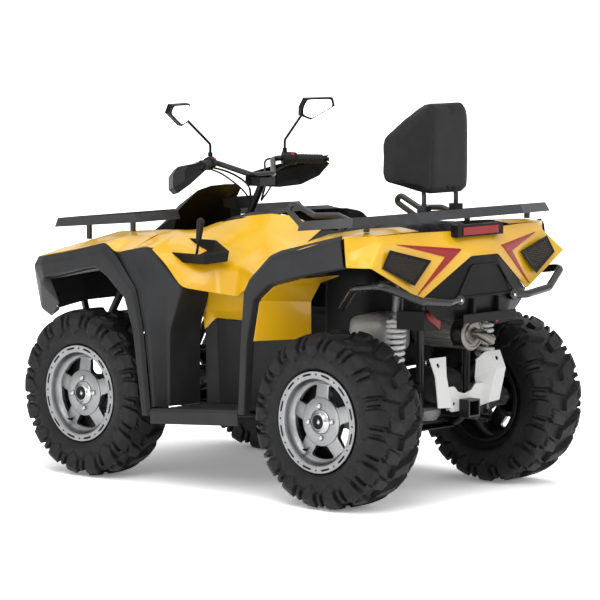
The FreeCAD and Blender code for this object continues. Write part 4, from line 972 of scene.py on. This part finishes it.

# dark stand-ins for the imported machinery that shows between the rear wheels, the engine bay's
# near-black block partly painted shade in the bay: look, middle, half sizes and power
machinery = {
    "engineBay": ("bay", (-0.46, 0.0, 0.66), (0.12, 0.205, 0.21), 6.0),
    "castCasing": ("castLight", (-0.57, 0.130, 0.595), (0.095, 0.095, 0.080), 3.5),
    "diffHousing": ("bay", (-0.70, 0.0, 0.40), (0.10, 0.12, 0.07), 3.0),
}


# |x/a|^p + |y/b|^p + |z/c|^p = 1, from the powers of sine and cosine
def roundedBlock(middle, half, power, count=40):
    u = np.linspace(-0.5 * math.pi + 0.02, 0.5 * math.pi - 0.02, count)[:, None]
    v = fullTurn(2 * count)[None, :]
    waves = (np.cos(u), np.sin(u), np.cos(v), np.sin(v))
    cosU, sinU, cosV, sinV = (signedPower(wave, 2 / power) for wave in waves)
    shape = np.stack([cosU * cosV, cosU * sinV, np.broadcast_to(sinU, (count, 2 * count))], -1)
    tip = toArray([0.01, 0.01, 1])
    shape = np.concatenate([shape[:1] * tip, shape, shape[-1:] * tip])
    return toArray(middle) + shape * toArray(half), False, True


for name, (look, *shape) in machinery.items():
    attach(gridPiece(name, [roundedBlock(*shape)], look))


# the node's outer plane x = a + b y + c z, fitted to its left solid by least squares
def outerPlane(node):
    points = meshPoints(nodes[node].data)
    points = points[points[:, 1] > 0]
    terms = np.c_[np.ones(len(points)), points[:, 1:]]
    plane = np.linalg.lstsq(terms, points[:, 0], rcond=None)[0]
    plane[0] += (points[:, 0] - terms @ plane).min()
    return plane


# places in y and z put on a plane, or forward of it
def onPlane(plane, flat, forward):
    return np.concatenate([flat @ plane[1:, None] + plane[0] + forward, flat], axis=-1)


# signed distance to each side of a convex outline, positive inside; the least one counts
def insideBy(outline, flat):
    along = unit(np.roll(outline, -1, axis=0) - outline)
    square = np.stack([-along[:, 1], along[:, 0]], -1)
    reach = ((flat[..., None, :] - outline) * square).sum(-1)
    turn = np.sign(((outline.mean(0) - outline) * square).sum(-1))
    return (reach * turn).min(-1)


grille = {
    "outline": [(0.440, 0.9355), (0.483, 0.8735), (0.343, 0.8045), (0.251, 0.8885)],
    "pitch": 0.0078,
    "bar": 0.0013,
    "depths": (0.0005, 0.0035),      # front and back of the net behind the node's outer plane
    "rim": 0.007,
    "halfWidth": 0.045,
    # the surround's rings: share of the outline and distance behind the plane
    "surround": [(1.0, 0.002), (1.0, -0.001), (0.96, -0.002), (None, 0.001), (None, 0.004)],
    "backing": [(None, 0.0038), (0.01, 0.0038)],
}


# a net of hexagons: rings of six corners round the points of a staggered grid
def netGrids(values, outline, plane):
    low, high = outline.min(0), outline.max(0)
    pitch = values["pitch"]
    rows = np.arange(low[1], high[1], pitch * 0.866)      # about the root of 3/4
    y, z = np.meshgrid(np.arange(low[0], high[0], pitch), rows)
    y = y + (np.arange(len(rows))[:, None] % 2) * pitch / 2
    middles = np.stack([y, z], -1).reshape(-1, 2)
    middles = middles[insideBy(outline, middles) > values["rim"] + 0.002]
    a = 2 * math.pi * (np.arange(6) + 0.5) / 6
    spokes = np.stack([np.cos(a), np.sin(a)], -1)
    radius = pitch / math.sqrt(3)
    front, back = values["depths"]
    rings = ((radius * 1.02, back), (radius * 1.02, front), (radius - values["bar"], front),
             (radius - values["bar"], back))
    return [(np.stack([onPlane(plane, middle + spokes * r, depth) for r, depth in rings]), True, True)
            for middle in middles]


# rings of the outline drawn in towards its centre; None stands for the share that leaves the rim
def ringGrid(values, outline, plane, rings):
    centre = outline.mean(0)
    inner = 1 - values["rim"] / values["halfWidth"]
    return np.stack([onPlane(plane, centre + (outline - centre) * (inner if share is None else share), depth)
                     for share, depth in rings]), False, True


def grillePiece(values):
    outline = toArray(values["outline"])
    plane = outerPlane("tail_grilles")
    attach(gridPiece("grilleNet", bothSides(netGrids(values, outline, plane)), "mesh"))
    rings = [ringGrid(values, outline, plane, values[key]) for key in ("surround", "backing")]
    attach(gridPiece("grilleFrames", bothSides(rings), "satin"), node="tail_grilles")


grillePiece(grille)

# x, thickness and outline in y and z
lenses = {
    "high": (-0.9375, 0.004, [(-0.098, 0.970), (0.098, 0.970), (0.098, 0.998), (-0.098, 0.998)]),
    "low": (-0.8795, 0.003, [(0.157, 0.632), (0.152, 0.661), (0.200, 0.698), (0.236, 0.696), (0.222, 0.672)]),
}


def lens(x, thickness, outline, side):
    return prism([(x, side * y, z) for y, z in outline], (-thickness, 0, 0))


lensSolids = [lens(*lenses["high"], 1), lens(*lenses["low"], 1), lens(*lenses["low"], -1)]
attach(solidPiece("rearLenses", lensSolids, "red", 0.0015))

tailTrim = {
    "recess": [(-0.9575, 0.074, 0.862), (-0.9660, 0.158, 0.752), (-0.9660, -0.158, 0.752),
               (-0.9575, -0.074, 0.862)],
    "border": 0.0035,
    "brackets": [((-0.984, -0.148, 0.668), (-0.935, 0.148, 0.673)),
                 ((-0.985, -0.148, 0.658), (-0.980, 0.148, 0.692)),
                 ((-0.972, 0.062, 0.670), (-0.950, 0.078, 0.742)),
                 ((-0.972, -0.078, 0.670), (-0.950, -0.062, 0.742))],
    "bolt": (-0.960, 0.150, 0.7425),
    "boss": [(-0.02, 0.0), (-0.02, 0.019), (0.012, 0.019), (0.016, 0.015), (0.016, 0.0)],
    "screw": [(0.015, 0.0), (0.015, 0.006), (0.019, 0.0055), (0.0195, 0.0)],
}


# points along a closed outline, one step apart, its corners rounded by averaging
def closedPath(outline, step, passes):
    p = toArray(outline)
    sides = [finer(np.stack([a, b])[:, None], step)[:-1, 0] for a, b in zip(p, np.roll(p, -1, axis=0))]
    p = np.concatenate(sides)
    for _ in range(passes):
        p = (np.roll(p, 1, axis=0) + 2 * p + np.roll(p, -1, axis=0)) / 4
    return p


# a thin bar along such an outline
def closedBar(outline, radius):
    p = closedPath(outline, 0.006, 6)
    grid, _, _ = pipe(np.concatenate([p, p[:1]]), radius, 8)
    return grid[1:-2], True, True


# turned parts on the grab bar's two bolts
def boltGrids(profile, steps):
    x, y, z = tailTrim["bolt"]
    return [lathe(profile, (x, side * y, z), (-1, 0, 0), steps) for side in (1, -1)]


attach(gridPiece("tailPanelBorder", [closedBar(tailTrim["recess"], tailTrim["border"])], "satin"))
brackets = [block(low, high) for low, high in tailTrim["brackets"]]
attach(solidPiece("tailBrackets", brackets, "satin", 0.003))
attach(gridPiece("grabBosses", boltGrids(tailTrim["boss"], 28), "tube"))
attach(gridPiece("grabScrews", boltGrids(tailTrim["screw"], 12), "chrome"))
print("tail made")

exhaust = {
    "start": (-0.580, -0.054, 0.5995),
    # distance along and radius
    "can": [(0.0, 0.0), (0.0, 0.052), (0.006, 0.058), (0.012, 0.060), (0.262, 0.060), (0.268, 0.0625),
            (0.276, 0.0625), (0.280, 0.058), (0.2805, 0.050), (0.2775, 0.048), (0.2775, 0.040),
            (0.2835, 0.037), (0.2835, 0.024), (0.2805, 0.022), (0.2805, 0.0)],
    "spout": [(-0.855, -0.060, 0.600), (-0.886, -0.070, 0.597), (-0.902, -0.086, 0.584),
              (-0.912, -0.103, 0.572)],
    "spoutRadii": (0.0185, 0.0165),
    "shieldX": (-0.806, -0.62),
    "shieldArc": (-50, 85),
    "shieldRadius": 0.0645,
    "shieldRib": 0.0012,
    "shieldWall": 0.0015,
}


# an open tube: circles square to the path, the outer ones first and the inner ones back
def openTube(path, outer, inner, sides=28):
    d, first, second = squareTo(np.gradient(path, axis=0))
    a = fullTurn(sides)[None, :, None]
    circle = ringAbout(first[:, None], second[:, None], a)
    middle = path[:, None]
    return np.concatenate([middle + outer * circle, (middle + inner * circle)[::-1]]), True, True


# part of a cylinder round the can, with ribs where cos 6a is over 0.2, and its inner side
def shieldGrid(values):
    _, y, z = values["start"]
    arc = np.radians(np.linspace(*values["shieldArc"], 30))
    x, a = np.meshgrid(np.linspace(*values["shieldX"], 40), arc, indexing="ij")
    radius = values["shieldRadius"] + values["shieldRib"] * (np.cos(a * 6) > 0.2)
    outer = np.stack([x, y + radius * np.cos(a), z + radius * np.sin(a)], -1)
    inner = outer - values["shieldWall"] * netNormals(outer, (-0.72, y, z))
    return np.concatenate([outer, inner[:, ::-1]], axis=1), False, True


can = lathe(exhaust["can"], exhaust["start"], (-1, 0, 0), 72)
spout = openTube(through(exhaust["spout"], 24), *exhaust["spoutRadii"])
attach(gridPiece("mufflerCan", [can, spout], "stainless", sharp=40), node="muffler")
attach(gridPiece("heatShield", [shieldGrid(exhaust)], "shield"))
print("muffler made")

# handlebar fittings; the left ones are mirrored. A place on the bar is its distance from the bend
# along the bar, ahead of it and above it.
bar = {
    "bend": (0.2413, 0.165, 1.1896),
    "end": (0.1343, 0.330, 1.1826),
    "ahead": (0.83, 0.54, 0.0),
    "lever": [(0.055, 0.030, 0.002), (0.075, 0.052, 0), (0.130, 0.050, 0), (0.185, 0.052, -0.004)],
    "leverRadii": (0.0065, 0.0045),
    "hoseRadius": 0.0042,
    "cableRadius": 0.0035,
    "stem": (0.172, 0.028, 1.035),       # hoses and cables end beside it
    "collar": [(0.0, 0.0), (0.0, 0.020), (0.004, 0.024), (0.040, 0.024), (0.044, 0.020), (0.044, 0.0)],
    "switchHalf": (0.016, 0.016, 0.012),
    "button": [(0.0, 0.0), (0.0, 0.007), (0.006, 0.0065), (0.008, 0.004), (0.008, 0.0)],
}
rubber = {"start": 0.110, "span": (0.002, 0.108), "radius": 0.0172, "rib": 0.0012, "pitch": 0.009}
bend, end, ahead = (toArray(bar[key]) for key in ("bend", "end", "ahead"))
run = unit(end - bend)


def atBar(along, forward=0.0, up=0.0):
    return bend + run * along + ahead * forward + [0, 0, up]


# profile of the grip: ribs stand where a pitch's share is more than 0.22 from its middle
def gripProfile(values):
    t = np.linspace(*values["span"], 90)
    ribs = values["radius"] + values["rib"] * (np.abs((t / values["pitch"]) % 1 - 0.5) > 0.22)
    return np.vstack([[(0.002, 0.0)], np.c_[t, ribs], [(0.111, 0.0165), (0.112, 0.0)]])


def steered(name, grids, look):
    attach(gridPiece(name, bothSides(grids), look), "steering")


steered("gripRubbers", [lathe(gripProfile(rubber), end - run * rubber["start"], run, 32)], "grip")
lever = through([atBar(*place) for place in bar["lever"]], 40)
steered("brakeLevers", [pipe(lever, np.linspace(*bar["leverRadii"], 40), 10)], "chrome")
hose = [atBar(0.060, 0.028), atBar(0, 0.060) + [0.01, 0, -0.01], [0.225, 0.105, 1.150],
        [0.170, 0.050, 1.100], bar["stem"]]
cable = [atBar(0.070, 0, -0.02), [0.205, 0.145, 1.140], [0.172, 0.080, 1.085], bar["stem"]]
hosePair = [pipe(through(hose, 60), bar["hoseRadius"], 10), pipe(through(cable, 60), bar["cableRadius"], 10)]
steered("controlHoses", hosePair, "grip")
switch = roundedBlock(atBar(0.072, 0.022), bar["switchHalf"], 4.0, 16)
steered("switchBlocks", [lathe(bar["collar"], atBar(0.052), run, 40), switch], "satin")
steered("stopButtons", [lathe(bar["button"], atBar(0.074, -0.020, 0.014), (-0.5, -0.3, 0.8), 20)], "button")

mirror = {
    "outline": [(-8, -2), (40, -18), (142, 34), (128, 66), (2, 66), (-12, 30)],      # y and z in millimetres
    "pivot": (0.0447, -0.1453, -0.0686),     # from the low x and the high y and z of the mirrors' box
    "slope": (0.24, 0.20),
    "inset": 0.85,
    "layers": ((0.02, 0.0046), (1.0, 0.0046), (1.0, 0.0036), (0.02, 0.0036)),        # share and depth
}


# the glass lies in the plane x = -slope . (y, z) through the pivot
def mirrorGrid(values):
    low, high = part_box("mirrors")
    pivot = toArray([low[0], high[1], high[2]]) + values["pivot"]
    outline = toArray(values["outline"]) / 1000
    outline = outline.mean(0) + (outline - outline.mean(0)) * values["inset"]
    edge = closedPath(outline, 0.004, 8)
    face = np.c_[-edge @ toArray(values["slope"]), edge]
    normal = unit(toArray([1, *values["slope"]]))
    middle = face.mean(0)
    return np.stack([pivot + middle + (face - middle) * share - normal * depth
                     for share, depth in values["layers"]]), False, True


attach(gridPiece("mirrorGlasses", bothSides([mirrorGrid(mirror)]), "glass", sharp=40), "steering")
print("handlebar fittings made")


def addFloor(values):
    h = values["floorHalf"]
    mesh = bpy.data.meshes.new("floor")
    mesh.from_pydata([(-h, -h, 0), (h, -h, 0), (h, h, 0), (-h, h, 0)], [], [(0, 1, 2, 3)])
    floor = bpy.data.objects.new("floor", mesh)
    bpy.context.scene.collection.objects.link(floor)
    f = Finish("floorPaper", Roughness=0.9, Specular_IOR_Level=0.0, Emission_Color=(1.0, 1.0, 1.0))
    seen = f.seen()
    x, y = f.axis("X"), f.axis("Y")
    glow = f.limits((x * x + y * y) ** 0.5, *values["glowReach"], *values["glow"])
    shade = f.blend(seen, [values["floorGrey"]] * 3, [values["floorSeen"]] * 3)
    mesh.materials.append(f.surface(Base_Color=shade, Emission_Strength=seen * glow))


def addWorld(values):
    world = bpy.data.worlds.new("studio")
    world.use_nodes = True
    w = NodeMaker(world.node_tree)
    strength = w.limits(w.seen(), 0.0, 1.0, values["worldLight"], 1.0)
    light = w.add("ShaderNodeBackground", {}, {"Color": (1.0, 1.0, 1.0), "Strength": strength})
    w.give(w.tree.nodes.new("ShaderNodeOutputWorld"), "Surface", light)
    bpy.context.scene.world = world


addCamera(studio)
addFloor(studio)
addWorld(studio)
for name, values in lamps.items():
    addLamp(name, *values)
bpy.context.scene.view_settings.view_transform = "Standard"
print("studio ready")
